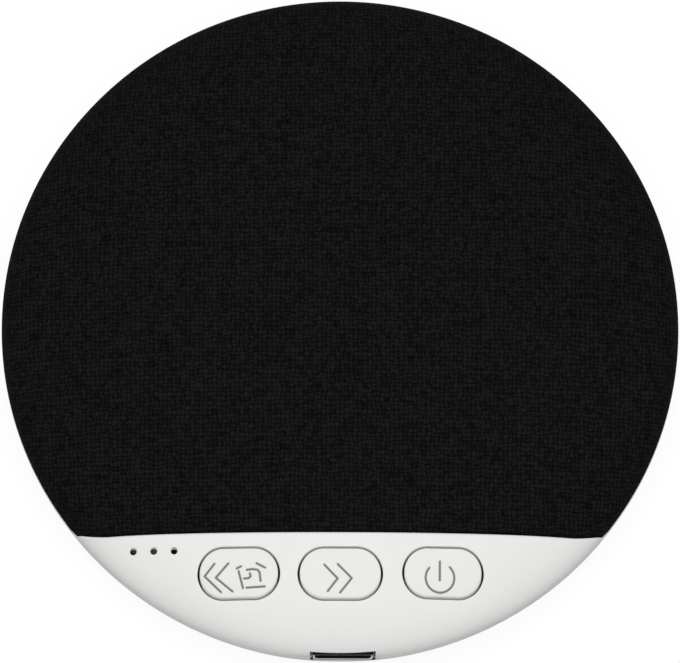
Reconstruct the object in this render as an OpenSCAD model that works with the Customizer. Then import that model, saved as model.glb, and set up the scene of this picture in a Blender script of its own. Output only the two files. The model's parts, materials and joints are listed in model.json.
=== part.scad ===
// Round under-mattress speaker: a low pebble of two casings, a cloth-covered grille
// over most of the top, and a moulded control panel with three keys and a charging port.
// Millimetres, +Z up. The origin is on the resting plane under the middle of the disc,
// the control panel faces -Y, and X runs to the right.

/* [Casing] */
// Diameter of the round casing
body_d = 83.5; // [82:0.5:90]
// Height of the crowned top above the parting plane
crown_h = 7.7; // [7.2:0.1:9]
// Depth of the lower casing below the parting plane
lower_h = 7.5; // [7.2:0.1:9]
// Squareness of the rounded edge, where 2 is an ellipse
edge_n = 2.3; // [2.1:0.05:2.6]
// Radius of the flat on the underside
base_flat_r = 30; // [28:0.5:31]
// Wall of the lower casing at the parting plane
casing_wall = 1.8; // [1.4:0.1:2.2]
// Floor of the lower casing
floor_t = 1.6; // [1.2:0.1:2]
// Depth of the small flat that is cut on the front for the port
front_flat = 0.35; // [0.2:0.05:0.6]
// Height of the locating lip above the parting plane
lip_h = 1.2; // [0.6:0.1:1.6]
// Thickness of the locating lip
lip_t = 0.9; // [0.7:0.1:1.2]

/* [Feet and case screws] */
// Diameter of a rubber foot
foot_d = 9; // [7:0.5:10]
// How far a foot stands out of the underside
foot_proud = 0.8; // [0.5:0.1:1.5]
// Depth of the recess that a foot is glued into
foot_recess = 0.5; // [0.3:0.1:0.8]
// Gap between a foot and the edge of the flat underside
foot_edge_gap = 0.75; // [0.5:0.25:3]
// Gap between the driver's flange and the bosses of the rear case screws
rear_screw_gap = 3.6; // [3:0.1:5]
// Angle of the rear case screws round the driver, from its side to its rear
rear_screw_angle = 60; // [50:1:65]
// Distance of the front case screws to each side
front_screw_x = 28.5; // [27:0.5:30]
// Distance of the front case screws behind the board's rear edge
front_screw_back = 6; // [5:0.5:8]
// Shank diameter of a case screw
case_screw_d = 2; // [1.6:0.1:2.4]
// Length of a case screw's shank
case_screw_l = 7.2; // [6:0.2:8]

/* [Cloth and grille] */
// Thickness of the cloth
cloth_t = 0.5; // [0.3:0.05:0.7]
// Radius of the rounded ends of the cloth's straight front edge
corner_r = 13.5; // [8:0.5:16]
// Length of each rounded end, up to the rim
corner_run = 4; // [3:0.25:6]
// Depth to which the cloth is tucked down at its straight edge
tuck_depth = 2.6; // [1.5:0.1:3]
// Wall of the grille frame
frame_wall = 1.5; // [1.2:0.1:1.8]
// Layer of glue under the cloth
glue_t = 0.1; // [0.05:0.05:0.2]
// Diameter of a grille hole
grille_hole_d = 2; // [1.4:0.1:2.2]
// Spacing of the rings of grille holes
grille_pitch = 2.9; // [2.8:0.1:3.2]

/* [Control panel] */
// Depth of the panel, from the front of the casing to the cloth's straight edge
panel_depth = 15.05; // [14.8:0.05:15.6]
// Wall of the control panel
panel_wall = 1.6; // [1.3:0.1:2]
// Gap between the cloth and the control panel
panel_gap = 0.15; // [0.1:0.05:0.4]
// Thickness of the panel's rear flange
panel_flange_t = 0.9; // [0.7:0.1:1.2]
// Distance of the two fixing tongues to each side
tongue_x = 12; // [10:0.5:13]
// Diameter of a pinhole
pinhole_d = 0.85; // [0.6:0.05:1.2]
// Spacing of the pinholes
pinhole_pitch = 2.55; // [2.3:0.05:3]
// Distance of the middle pinhole from the casing's rim
pinhole_rim = 4.9; // [4.7:0.05:5.5]
// Distance of the pinholes behind the front of the casing
pinhole_front = 12.9; // [12.7:0.05:13.1]

/* [Keys] */
// Length of a key
key_l = 9.8; // [9:0.1:10.6]
// Width of a key
key_w = 6.0; // [5.5:0.1:6.6]
// Spacing of the keys
key_pitch = 12.67; // [12.4:0.01:13]
// Sideways place of the middle key
key_row_x = 0.14; // [-0.3:0.01:0.3]
// Distance of the row of keys behind the front of the casing
key_front = 9.6; // [9.3:0.05:9.8]
// How far the keys stand above the panel's surface
key_proud = 0.45; // [0.3:0.05:0.8]
// Gap between a key and its opening
key_gap = 0.2; // [0.12:0.02:0.3]
// Travel of a key
key_travel = 0.35; // [0.2:0.05:0.4]
// Wall of a key
key_wall = 1; // [0.8:0.1:1.2]
// How far a key's retaining ears reach past its ends
key_ear = 0.6; // [0.4:0.05:0.6]
// Thickness of the retaining ears
key_ear_t = 0.7; // [0.5:0.05:0.8]
// Wall of the guide collar around a key
collar_wall = 1.3; // [1.2:0.1:1.4]

/* [Circuit board] */
// Thickness of the circuit board
board_t = 1; // [0.8:0.1:1.2]
// Depth of the board, from the front of the casing to its straight rear edge
board_depth = 24.75; // [24:0.05:25]
// Gap between the board and the casing's rim shelf
board_gap = 0.3; // [0.2:0.05:0.6]
// Distance of a board screw from the board's round edge
board_screw_rim = 2.7; // [2.4:0.1:4]
// Distance of a board screw from the board's straight rear edge
board_screw_back = 3.5; // [3:0.1:5]
// Shank diameter of a board or driver screw
small_screw_d = 1.8; // [1.5:0.1:2]
// Side of a key switch
switch_w = 4.5; // [4:0.1:5]
// Height of a key switch's housing
switch_h = 1.6; // [1.5:0.05:1.8]

/* [Charging port] */
// Width of the socket's steel shell
socket_w = 7.45; // [7:0.05:7.7]
// Height of the socket's steel shell
socket_h = 2.6; // [2.4:0.05:2.7]
// Depth of the socket
socket_l = 5; // [4.6:0.1:5.2]
// Sheet thickness of the socket's shell
socket_sheet = 0.3; // [0.2:0.05:0.35]
// Sideways place of the port
port_x = 0.45; // [-0.5:0.05:0.5]
// Height of the socket's middle above the parting plane
port_rise = 0.2; // [0:0.05:0.3]
// Width of the slot in the casing
slot_w = 8; // [7.9:0.05:8.6]
// Height of the slot in the casing
slot_h = 3.2; // [3.1:0.05:3.8]
// How far the slot's middle lies below the socket's
slot_drop = 0.1; // [0:0.05:0.2]
// Bevel of the slot's lower corners
slot_bevel = 0.8; // [0.5:0.05:1]

/* [Battery] */
// Length of the battery cell
cell_l = 32; // [26:1:32]
// Width of the battery cell
cell_w = 15; // [13:0.5:16]
// Thickness of the battery cell
cell_t = 3.2; // [2.8:0.1:3.2]
// Thickness of the foam pad under the cell
pad_t = 0.5; // [0.3:0.1:0.6]

/* [Speaker driver] */
// Diameter of the driver's flange
driver_d = 36; // [34:0.5:40]
// Gap between the battery cell and the driver's basket, seen from above
driver_gap = 0.8; // [0.6:0.1:2]
// Depth from the driver's flange face to the back of its magnet cup
driver_depth = 6.8; // [6.6:0.1:7.2]
// Running space under the magnet cup
driver_under = 0.6; // [0.4:0.1:0.8]
// Thickness of the flange
flange_t = 0.9; // [0.7:0.05:1.1]
// Distance of the four fixing ears' holes outside the flange
ear_reach = 2; // [1.8:0.1:2.4]
// Angle of the ears from the driver's left and right
ear_angle = 30; // [20:1:40]
// Diameter of the magnet
magnet_d = 15.2; // [13:0.2:16]
// Thickness of the magnet
magnet_t = 2.1; // [1.8:0.1:2.2]
// Thickness of the top plate
plate_t = 1; // [0.8:0.1:1.2]
// Wall of the magnet cup
cup_wall = 1.2; // [1:0.1:1.5]
// Radial width of the magnetic gap
gap_w = 1.9; // [1.8:0.05:2.1]
// Thickness of the foam gasket on the flange
gasket_t = 0.6; // [0.4:0.1:0.8]
// Travel of the cone to each side of rest
cone_travel = 0.5; // [0.3:0.05:0.5]

/* [Hidden] */
$fn = 72;

// Small distances that many pieces share
eps = 0.02;
fit_gap = 0.05;
screw_gap = 0.03;
profile_steps = 18;

// Radii and levels of the casing
body_r = body_d / 2;
base_z = foot_proud;
part_z = base_z + lower_h;
floor_z = base_z + floor_t;
front_y = -(body_r - front_flat);
frame_r = body_r - cloth_t - glue_t;
frame_h = crown_h - cloth_t - glue_t;
chord_y = body_r - panel_depth;
corner_x = sqrt(body_r * body_r - chord_y * chord_y) - corner_run;
frame_inset = cloth_t + glue_t;
frame_y = -chord_y + frame_inset;
front_wall_t = 1.2;
shelf_w = 1.85;
shelf_r = body_r - casing_wall - shelf_w;
shelf_depth = 2;
foot_ring_r = base_flat_r - foot_edge_gap - foot_d / 2;

// Levels of the control panel's inside, worked out from the board up
board_top = part_z + port_rise - socket_h / 2;
board_z = board_top - board_t;
board_r = shelf_r - board_gap;
board_rear_y = body_r - board_depth;
key_y = body_r - key_front;
pinhole_y = body_r - pinhole_front;
pinhole_x = sqrt(pow(body_r - pinhole_rim, 2) - pinhole_y * pinhole_y);
plunger_proud = key_travel + 0.1;
key_bottom = board_top + switch_h + plunger_proud;
collar_z = key_bottom + key_ear_t + 0.15;
inner_wall_z = collar_z + 0.9;
panel_y = -chord_y - panel_gap;
flange_y = panel_y - panel_flange_t;
tuck_z = part_z + crown_at(chord_y) - tuck_depth;
tongue_z = inner_wall_z - 0.1;
tongue_t = 1;
tongue_reach = 4;
key_x = [for (i = [-1 : 1]) key_row_x + i * key_pitch];

// Battery cell with the protection board on its sealed end
terrace_l = 3.5;
cell_front_gap = 0.35;
cell_at = [-terrace_l / 2, -chord_y - cell_front_gap + cell_w / 2];

// Levels of the driver
cup_z = floor_z + driver_under;
face_z = cup_z + driver_depth;
cup_floor = driver_depth - flange_t - magnet_t - plate_t - 1.5;
magnet_z = cup_z + cup_floor;
plate_z = magnet_z + magnet_t;
plate_top = plate_z + plate_t;
plate_r = magnet_d / 2 + 0.3;
cup_in_r = plate_r + gap_w;
cup_r = cup_in_r + cup_wall;
flange_r = driver_d / 2;
window_r = flange_r - 2.3;
cone_r = window_r - 2.3;
surround_t = 0.3;
gasket_z = face_z + surround_t;
baffle_z = gasket_z + gasket_t;
baffle_in_r = flange_r - 2;
baffle_t = 1.4;
coil_t = 0.8;
coil_r = plate_r + (gap_w - coil_t) / 2;
coil_top = plate_top + cone_travel + 0.3;
driver_y = cell_at[1] + cell_w / 2 + driver_gap + window_r;

// Places of the feet and screws, as [x, y]
foot_at = [for (a = [45 : 90 : 315]) foot_ring_r * [cos(a), sin(a)]];
case_boss_r = case_screw_d / 2 + 1.9;
rear_screw_r = flange_r + rear_screw_gap + case_boss_r;
case_screw_at = [for (s = [-1, 1]) each [
    [s * rear_screw_r * cos(rear_screw_angle), driver_y + rear_screw_r * sin(rear_screw_angle)],
    [s * front_screw_x, front_screw_back - board_rear_y]]];
board_screw_y = board_rear_y + board_screw_back;
board_screw_x = sqrt(pow(board_r - board_screw_rim, 2) - board_screw_y * board_screw_y);
board_screw_at = [for (s = [-1, 1]) [s * board_screw_x, -board_screw_y]];
tongue_y = frame_y + tongue_reach;
panel_screw_at = [for (s = [-1, 1]) [s * tongue_x, tongue_y]];
ear_r = small_screw_d / 2 + 1.6;
ear_at = [for (s = [-1, 1], t = [-1, 1]) [0, driver_y]
    + (flange_r + ear_reach) * [s * cos(ear_angle), t * sin(ear_angle)]];
case_seat_z = floor_z + 1;
panel_screw_l = 2.5;
board_screw_l = 3.8;
driver_screw_grip = 2.2;
screw_end_gap = 0.2;
case_boss_z = part_z - 0.7;

// Places of the grille holes: rings of six, twelve, eighteen and so on round one hole, as
// many as fit inside the baffle ring
grille_rings = floor((baffle_in_r - grille_hole_d / 2 - 0.3) / grille_pitch);
grille_at = concat([[0, driver_y]], [for (k = [1 : grille_rings]) each [for (i = [0 : 6 * k - 1])
    [0, driver_y] + k * grille_pitch * [cos(60 * i / k), sin(60 * i / k)]]]);

// Switches, lamps and the microphone on the board
plunger_r = 1.1;
plunger_in = 0.6;
led_size = [1.6, 0.8, 0.7];
led_at = [for (i = [0, 1]) [-pinhole_x - 1.75 + i * 1.9, -pinhole_y + 1.65 - i * 0.3]];
guide_z = part_z + 0.2;
microphone_at = [-pinhole_x + pinhole_pitch, -pinhole_y];
microphone_size = [2.6, 2.6, 1];

// Row of chips along the board's rear edge, with coils and capacitors beside it
chip_y = -(board_rear_y + 5);
power_coil_size = [3, 3, 1.2];
power_coil_x = 15.5;
power_coil_step = power_coil_size[1] + 1;
capacitor_size = [0.8, 1.6, 0.7];
capacitor_step = capacitor_size[0] + 1.1;
capacitor_rows = [[-8.2, chip_y - 4], [4.5, chip_y - 4.2]];

// Tab that carries the charging socket, and the socket's contact tongue
tab_w = 10;
mouth_y = front_y + 0.25;
contact_tongue = [3.6, 0.7];

// Battery leads and plug
plug_at = [21, -(board_rear_y + 2)];
plug_h = 2.6;
lead_d = 0.9;
lead_start_z = floor_z + pad_t + cell_t / 2;
lead_end_y = plug_at[1] + 2.4;
lead_x0 = cell_at[0] + cell_l / 2 + terrace_l;

// Solder tab under the driver's flange, and the cone's skin
solder_tab = [3.6, 6.4, 0.8];
solder_tab_angle = 235;
cone_t = 0.35;

// Colours as the photograph shows them, and usual ones for what it does not
shell_white = "#ECEBE7";
cloth_black = "#141414";
frame_black = "#202022";

// Points of a quarter of a rounded edge, from its highest point outwards
function quarter(flat_r, r, h) = [for (i = [0 : profile_steps]) let (a = 90 * i / profile_steps)
    [flat_r + (r - flat_r) * pow(sin(a), 2 / edge_n), h * pow(cos(a), 2 / edge_n)]];

// Height of the crown above the parting plane, at a distance from the middle
function crown_at(r) = crown_h * pow(1 - pow(r / body_r, edge_n), 1 / edge_n);

// Catmull-Rom point between b and c
function blend(a, b, c, d, t) = 0.5 * (2 * b + (c - a) * t + (2 * a - 5 * b + 4 * c - d) * t * t
    + (3 * b - a - 3 * c + d) * t * t * t);

// A route with extra points on a smooth curve between its chosen points
function smooth(p, k) = concat([for (i = [0 : len(p) - 2]) each [for (j = [0 : k - 1])
    blend(p[max(i - 1, 0)], p[i], p[i + 1], p[min(i + 2, len(p) - 1)], j / k)]],
    [p[len(p) - 1]]);

function unit(v) = v / norm(v);

// Crowned solid on the parting plane
module dome(r, h) {
    translate([0, 0, part_z])
        rotate_extrude()
            polygon(concat([[0, 0]], quarter(0, r, h)));
}

// Bowl that hangs under the parting plane, with a flat bottom
module bowl(flat_r, r, h) {
    translate([0, 0, part_z])
        rotate_extrude()
            polygon(concat([[0, 0], [0, -h]], [for (p = quarter(flat_r, r, h)) [p[0], -p[1]]]));
}

// Everything behind a plane across the casing, or before it
module behind(y) {
    translate([-body_d, y, -body_d])
        cube([2 * body_d, 2 * body_d, 2 * body_d]);
}
module before(y) {
    translate([-body_d, y - 2 * body_d, -body_d])
        cube([2 * body_d, 2 * body_d, 2 * body_d]);
}

// Everything behind the cloth's front edge, which is straight with rounded ends. An inset
// moves that edge back, and a negative one moves it forwards.
module rear_field(inset) {
    steps = 16;
    reach = part_z + 2 * crown_h;
    turn_y = corner_r - chord_y;
    end = [for (i = [0 : steps]) let (a = 90 * i / steps)
        [corner_x + (corner_r - inset) * sin(a), turn_y - (corner_r - inset) * cos(a)]];
    translate([0, 0, -reach])
        linear_extrude(2 * reach)
            polygon(concat(end, [[body_d, turn_y], [body_d, body_d], [-body_d, body_d],
                [-body_d, turn_y]], [for (i = [steps : -1 : 0]) [-end[i][0], end[i][1]]]));
}

// Upright post from z0 to z1 at [x, y]
module post(at, r, z0, z1) {
    translate([at[0], at[1], z0])
        cylinder(r = r, h = z1 - z0);
}

// Box given by its middle in plan, its size and its underside
module block(at, size, z0) {
    translate([at[0] - size[0] / 2, at[1] - size[1] / 2, z0])
        cube(size);
}

// Pill-shaped block along X, with round ends
module pill(at, l, w, z0, z1) {
    for (s = [-1, 1])
        post([at[0] + s * (l - w) / 2, at[1]], w / 2, z0, z1);
    block(at, [l - w, w, z1 - z0], z0);
}

// Ring about an upright axis
module ring(at, r_in, r_out, z0, z1) {
    difference() {
        post(at, r_out, z0, z1);
        post(at, r_in, z0 - 1, z1 + 1);
    }
}

// Pan-head screw that is driven upwards, with a cross recess in its head
module screw(at, d, l, seat_z) {
    head_r = d * 0.98;
    head_h = d * 0.62;
    difference() {
        union() {
            post(at, d / 2, seat_z - eps, seat_z + l);
            translate([at[0], at[1], seat_z - head_h])
                cylinder(r1 = head_r * 0.82, r2 = head_r, h = head_h);
        }
        for (a = [0, 90])
            translate([at[0], at[1], seat_z - head_h])
                rotate(a)
                    cube([head_r * 1.1, d * 0.2, head_h], center = true);
    }
}

// Pan-head screw that is driven downwards
module screw_down(at, d, l, seat_z) {
    translate([0, 0, 2 * seat_z])
        mirror([0, 0, 1])
            screw(at, d, l, seat_z);
}

// Insulated lead swept along a route
module lead(route, d) {
    p = smooth(route, 4);
    n = len(p);
    sides = 8;
    ref = unit([0.25, 1, 0.4]);
    points = [for (i = [0 : n - 1]) let (
        t = unit(p[min(i + 1, n - 1)] - p[max(i - 1, 0)]),
        u = unit(cross(t, ref)),
        v = cross(t, u))
        each [for (j = [0 : sides - 1]) let (a = 360 * j / sides)
            p[i] + d / 2 * (cos(a) * u + sin(a) * v)]];
    faces = concat([[for (j = [0 : sides - 1]) j]],
        [for (i = [0 : n - 2]) each [for (j = [0 : sides - 1])
            let (k = (j + 1) % sides)
            each [[i * sides + j, (i + 1) * sides + j, (i + 1) * sides + k],
                [i * sides + j, (i + 1) * sides + k, i * sides + k]]]],
        [[for (j = [sides - 1 : -1 : 0]) (n - 1) * sides + j]]);
    polyhedron(points, faces);
}

// Slot of the port with its lower corners cut off, as a solid that runs inwards
module port_slot(depth) {
    z0 = part_z + port_rise - slot_drop - slot_h / 2;
    translate([port_x, front_y + depth, z0])
        rotate([90, 0, 0])
            linear_extrude(depth + 2)
                polygon([[-slot_w / 2 + slot_bevel, 0], [slot_w / 2 - slot_bevel, 0],
                    [slot_w / 2, slot_bevel], [slot_w / 2, slot_h],
                    [-slot_w / 2, slot_h], [-slot_w / 2, slot_bevel]]);
}

module bottom_shell() {
    fence_t = 1;
    fence_gap = 0.4;
    fence = [cell_l + 2 * fence_gap, cell_w + 2 * fence_gap, 2.4];
    rib_reach = [4, 1.5];
    color(shell_white)
    difference() {
        intersection() {
            union() {
                difference() {
                    bowl(base_flat_r, body_r, lower_h);
                    bowl(base_flat_r - 1, body_r - casing_wall, lower_h - floor_t);
                }
                // Shelf under the parting plane, and the lip that locates the grille frame
                ring([0, 0], shelf_r, body_r, part_z - shelf_depth, part_z);
                intersection() {
                    ring([0, 0], shelf_r, shelf_r + lip_t, part_z - eps, part_z + lip_h);
                    rear_field(frame_inset + frame_wall);
                }
                for (at = case_screw_at)
                    post(at, case_boss_r, base_z, case_boss_z);
                for (at = board_screw_at)
                    post(at, small_screw_d / 2 + 1.4, base_z, board_z);
                // Posts that hold the board up under the outer switches
                for (x = [key_x[0], key_x[2]])
                    post([x, -key_y], 1.5, base_z, board_z);
                // Corner ribs of the battery pocket
                difference() {
                    block(cell_at, [fence[0] + 2 * fence_t, fence[1] + 2 * fence_t,
                        floor_z + fence[2] - base_z], base_z);
                    block(cell_at, [fence[0], fence[1], body_d], floor_z);
                    block(cell_at, [cell_l - 2 * rib_reach[0], body_d, body_d], floor_z);
                    block(cell_at, [body_d, cell_w - 2 * rib_reach[1], body_d], floor_z);
                }
            }
            union() {
                bowl(base_flat_r, body_r, lower_h);
                post([0, 0], body_r - 1, part_z - 1, part_z + lip_h);
            }
            behind(front_y);
        }
        for (at = case_screw_at) {
            post(at, case_screw_d + 0.2, -1, case_seat_z);
            post(at, case_screw_d / 2 + 0.25, -1, part_z + 1);
        }
        for (at = board_screw_at)
            post(at, small_screw_d / 2 + screw_gap, board_top - board_screw_l - 2 * screw_end_gap,
                board_top);
        for (at = foot_at)
            post(at, foot_d / 2 + fit_gap, -1, base_z + foot_recess);
        port_slot(6);
        // Pocket for the board's tab under the socket
        block([port_x, front_y + 1.2 + 3], [tab_w + 1, 6, 20], board_z - 0.3);
    }
}

module key_opening(x) {
    pill([x, -key_y], key_l + 2 * key_gap, key_w + 2 * key_gap, part_z, part_z + 2 * crown_h);
}

module control_panel() {
    tongue = [6, tongue_reach + cloth_t + panel_gap + 3, tongue_t];
    color(shell_white)
    difference() {
        intersection() {
            dome(body_r, crown_h);
            behind(front_y);
            union() {
                difference() {
                    union() {
                        difference() {
                            dome(body_r, crown_h);
                            dome(body_r - panel_wall, crown_h - panel_wall);
                        }
                        // Rear flange that the tucked cloth is pressed against
                        intersection() {
                            rear_field(-panel_gap - panel_flange_t);
                            post([0, 0], body_r, inner_wall_z + 0.3, part_z + crown_h);
                        }
                        // Guide collars around the keys
                        for (x = key_x)
                            pill([x, -key_y], key_l + 2 * (key_gap + collar_wall),
                                key_w + 2 * (key_gap + collar_wall), collar_z, part_z + crown_h);
                    }
                    rear_field(-panel_gap);
                }
                // Tongues that reach under the grille frame, on webs from the flange
                for (at = panel_screw_at) {
                    block([at[0], flange_y + tongue[1] / 2],
                        tongue, tongue_z - tongue_t);
                    block([at[0], (flange_y + panel_y) / 2],
                        [tongue[0], panel_flange_t, 3], tongue_z - tongue_t);
                }
            }
        }
        for (x = key_x)
            key_opening(x);
        for (i = [-1 : 1])
            post([-pinhole_x + i * pinhole_pitch, -pinhole_y], pinhole_d / 2,
                part_z, part_z + crown_h);
        for (at = panel_screw_at)
            post(at, small_screw_d / 2 + 0.2, tongue_z - 2, tongue_z + 1);
        port_slot(3.4);
    }
}

// Screw bosses, baffle ring and chord wall under the grille frame, before they are trimmed
module frame_fittings() {
    post_r = small_screw_d / 2 + 1.4;
    ring([0, driver_y], baffle_in_r, baffle_in_r + baffle_t, baffle_z, part_z + crown_h);
    for (at = ear_at)
        post(at, post_r, face_z, part_z + crown_h);
    for (at = case_screw_at)
        post(at, case_screw_d / 2 + 1.5, case_boss_z, part_z + crown_h);
    for (at = panel_screw_at)
        post(at, post_r, tongue_z, part_z + crown_h);
    difference() {
        post([0, 0], body_r, inner_wall_z, part_z + crown_h);
        rear_field(frame_inset + front_wall_t);
    }
}

module grille_frame() {
    color(frame_black)
    difference() {
        intersection() {
            dome(frame_r, frame_h);
            rear_field(frame_inset);
            union() {
                difference() {
                    dome(frame_r, frame_h);
                    dome(frame_r - frame_wall, frame_h - frame_wall);
                }
                frame_fittings();
            }
        }
        for (at = grille_at)
            post(at, grille_hole_d / 2, part_z + 1, part_z + crown_h);
        for (at = ear_at)
            post(at, small_screw_d / 2 + screw_gap, face_z - 1,
                face_z + driver_screw_grip + screw_end_gap);
        for (at = case_screw_at)
            post(at, case_screw_d / 2 + screw_gap, case_boss_z - 1,
                case_seat_z + case_screw_l + 2 * screw_end_gap);
        for (at = panel_screw_at)
            post(at, small_screw_d / 2 + screw_gap, tongue_z - tongue_t,
                tongue_z - tongue_t + panel_screw_l + screw_end_gap);
    }
}

module cloth_cover() {
    color(cloth_black)
    intersection() {
        dome(body_r, crown_h);
        rear_field(0);
        union() {
            difference() {
                dome(body_r, crown_h);
                dome(body_r - cloth_t, crown_h - cloth_t);
            }
            // Edge that is tucked down between the grille frame and the panel
            difference() {
                post([0, 0], body_r, tuck_z, part_z + crown_h);
                rear_field(cloth_t);
            }
        }
    }
}

module rubber_feet() {
    color("#2B2B2C")
    for (at = foot_at)
        post(at, foot_d / 2, 0, base_z + foot_recess);
}

module case_screws() {
    color("#B9BABD")
    for (at = case_screw_at)
        screw(at, case_screw_d, case_screw_l, case_seat_z);
}

module panel_screws() {
    color("#B9BABD")
    for (at = panel_screw_at)
        screw(at, small_screw_d, panel_screw_l, tongue_z - tongue_t);
}

module board_screws() {
    color("#B9BABD")
    for (at = board_screw_at)
        screw_down(at, small_screw_d, board_screw_l, board_top);
}

module driver_screws() {
    color("#B9BABD")
    for (at = ear_at)
        screw(at, small_screw_d, flange_t + driver_screw_grip, face_z - flange_t);
}

module main_board() {
    color("#1E5B3A")
    difference() {
        intersection() {
            post([0, 0], body_r, board_z, board_top);
            before(-board_rear_y);
            union() {
                post([0, 0], board_r, board_z, board_top);
                block([port_x, front_y + 1.5 + 4], [tab_w, 8, board_t], board_z);
            }
        }
        for (at = board_screw_at)
            post(at, small_screw_d / 2 + 0.2, board_z - 1, board_top + 1);
    }
}

module switch_housings() {
    color("#3A3B3D")
    for (x = key_x)
        difference() {
            block([x, -key_y], [switch_w, switch_w, switch_h], board_top);
            post([x, -key_y], plunger_r + fit_gap,
                board_top + switch_h - plunger_in - key_travel - 0.1, board_top + 2 * switch_h);
        }
}

module plunger(x) {
    color("#E8E4DA")
    post([x, -key_y], plunger_r, board_top + switch_h - plunger_in, key_bottom);
}

module key(x) {
    color(shell_white)
    intersection() {
        dome(body_r + key_proud, crown_h + key_proud);
        difference() {
            union() {
                pill([x, -key_y], key_l, key_w, key_bottom, part_z + 2 * crown_h);
                // Retaining ears at both ends
                intersection() {
                    pill([x, -key_y], key_l + 2 * key_ear, key_w + 2 * key_ear,
                        key_bottom, key_bottom + key_ear_t);
                    block([x, -key_y], [2 * key_l, key_w - 1.5, 20], key_bottom - 1);
                }
            }
            // Hollow underside with a stem that meets the plunger
            difference() {
                pill([x, -key_y], key_l - 2 * key_wall, key_w - 2 * key_wall,
                    key_bottom - 1, key_bottom + 1.6);
                post([x, -key_y], plunger_r + 0.3, key_bottom - 2, key_bottom + 3);
            }
        }
    }
}

module back_key() { key(key_x[0]); }
module forward_key() { key(key_x[1]); }
module power_key() { key(key_x[2]); }
module back_plunger() { plunger(key_x[0]); }
module forward_plunger() { plunger(key_x[1]); }
module power_plunger() { plunger(key_x[2]); }

module socket_outline(inset) {
    bevel = 0.9;
    w = socket_w / 2 - inset;
    polygon([[-w + bevel, inset], [w - bevel, inset], [w, inset + bevel],
        [w, socket_h - inset], [-w, socket_h - inset], [-w, inset + bevel]]);
}

module socket_part(y0, y1) {
    translate([port_x, y1, board_top])
        rotate([90, 0, 0])
            linear_extrude(y1 - y0)
                children();
}

module usb_shell() {
    color("#C9CBCE")
    difference() {
        socket_part(mouth_y, mouth_y + socket_l)
            socket_outline(0);
        socket_part(mouth_y - 1, mouth_y + socket_l - socket_sheet)
            socket_outline(socket_sheet);
    }
}

module usb_tongue() {
    back_y = mouth_y + socket_l - socket_sheet;
    mid_z = board_top + socket_h / 2;
    color("#191A1B")
    union() {
        socket_part(back_y - 1.2, back_y)
            socket_outline(socket_sheet);
        block([port_x, (mouth_y + 0.6 + back_y) / 2],
            [contact_tongue[0], back_y - mouth_y - 0.6, contact_tongue[1]], mid_z);
    }
}

module usb_contacts() {
    mid_z = board_top + socket_h / 2;
    color("#D2A84A")
    for (i = [-2 : 2])
        block([port_x + i * 0.65, mouth_y + 0.8 + 1.2], [0.35, 2.4, 0.15], mid_z - 0.15);
}

module status_leds() {
    color("#F3E9A8")
    for (at = led_at)
        block(at, led_size, board_top);
}

// Clear guide from the lamps to the two outer pinholes
module light_guide() {
    color("#DDE6EA")
    for (i = [0, 1]) {
        hole = [-pinhole_x + (i - 1) * pinhole_pitch, -pinhole_y];
        hull() {
            post(hole, 0.75, guide_z, guide_z + 0.9, $fn = 32);
            post(led_at[i], 0.75, guide_z, guide_z + 0.9, $fn = 32);
        }
        intersection() {
            post(hole, pinhole_d / 2 - 0.03, guide_z, part_z + crown_h);
            dome(body_r - 1, crown_h - 1);
        }
    }
}

module microphone() {
    color("#B8A45C")
    block(microphone_at, microphone_size, board_top);
}

// Rubber boot between the microphone and its pinhole, cut back where it passes the rear
// flange and the nearest key's collar
module microphone_boot() {
    collar_out = key_gap + collar_wall + fit_gap;
    color("#2B2B2C")
    difference() {
        intersection() {
            ring(microphone_at, pinhole_d / 2, 1.2, board_top + microphone_size[2],
                part_z + crown_h);
            dome(body_r - panel_wall - 0.1, crown_h - panel_wall - 0.1);
            before(flange_y - 0.1);
        }
        pill([key_x[0], -key_y], key_l + 2 * collar_out, key_w + 2 * collar_out,
            board_top, part_z + crown_h);
    }
}

module wireless_chip() {
    color("#26282B")
    block([-4, chip_y], [5, 5, 0.9], board_top);
}

module amplifier_chip() {
    legs = 4;
    color("#26282B")
    union() {
        block([4, chip_y], [3.9, 4.9, 1.4], board_top);
        for (i = [0 : legs - 1], s = [-1, 1])
            block([4 + s * 2.4, chip_y + (i - 1.5) * 1.27], [1.1, 0.45, 0.2], board_top);
    }
}

module clock_crystal() {
    color("#C4C6CA")
    block([-10, chip_y + 1.5], [3.2, 2.5, 0.8], board_top);
}

module power_coils() {
    color("#4A4744")
    for (i = [0, 1])
        block([power_coil_x, chip_y + 1.8 - power_coil_step * i], power_coil_size, board_top);
}

module chip_capacitors() {
    color("#B79A74")
    for (row = capacitor_rows, i = [0 : 3])
        block([row[0] + capacitor_step * i, row[1]], capacitor_size, board_top);
}

module battery_cell() {
    r = cell_t / 2;
    z = floor_z + pad_t;
    color("#C8CCD2")
    union() {
        block(cell_at, [cell_l, cell_w - cell_t, cell_t], z);
        for (s = [-1, 1])
            translate([cell_at[0] - cell_l / 2, cell_at[1] + s * (cell_w / 2 - r), z + r])
                rotate([0, 90, 0])
                    cylinder(r = r, h = cell_l);
        // Protection board on the cell's sealed end
        block([cell_at[0] + (cell_l + terrace_l) / 2, cell_at[1]],
            [terrace_l, cell_w - 4, 1.2], z + r - 0.6);
    }
}

module battery_pad() {
    edge = [4, 3];
    color("#3C3C3E")
    block(cell_at, [cell_l - 2 * edge[0], cell_w - 2 * edge[1], pad_t], floor_z);
}

// Two-pin socket that opens to the rear, with the plug that the leads end in
module battery_socket() {
    color("#EDE8DA")
    difference() {
        block([plug_at[0], plug_at[1] - 1], [5.6, 4, plug_h + 0.6], board_top);
        block([plug_at[0], plug_at[1]], [4.6, 4, plug_h - 0.4], board_top + 0.5);
    }
}

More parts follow.
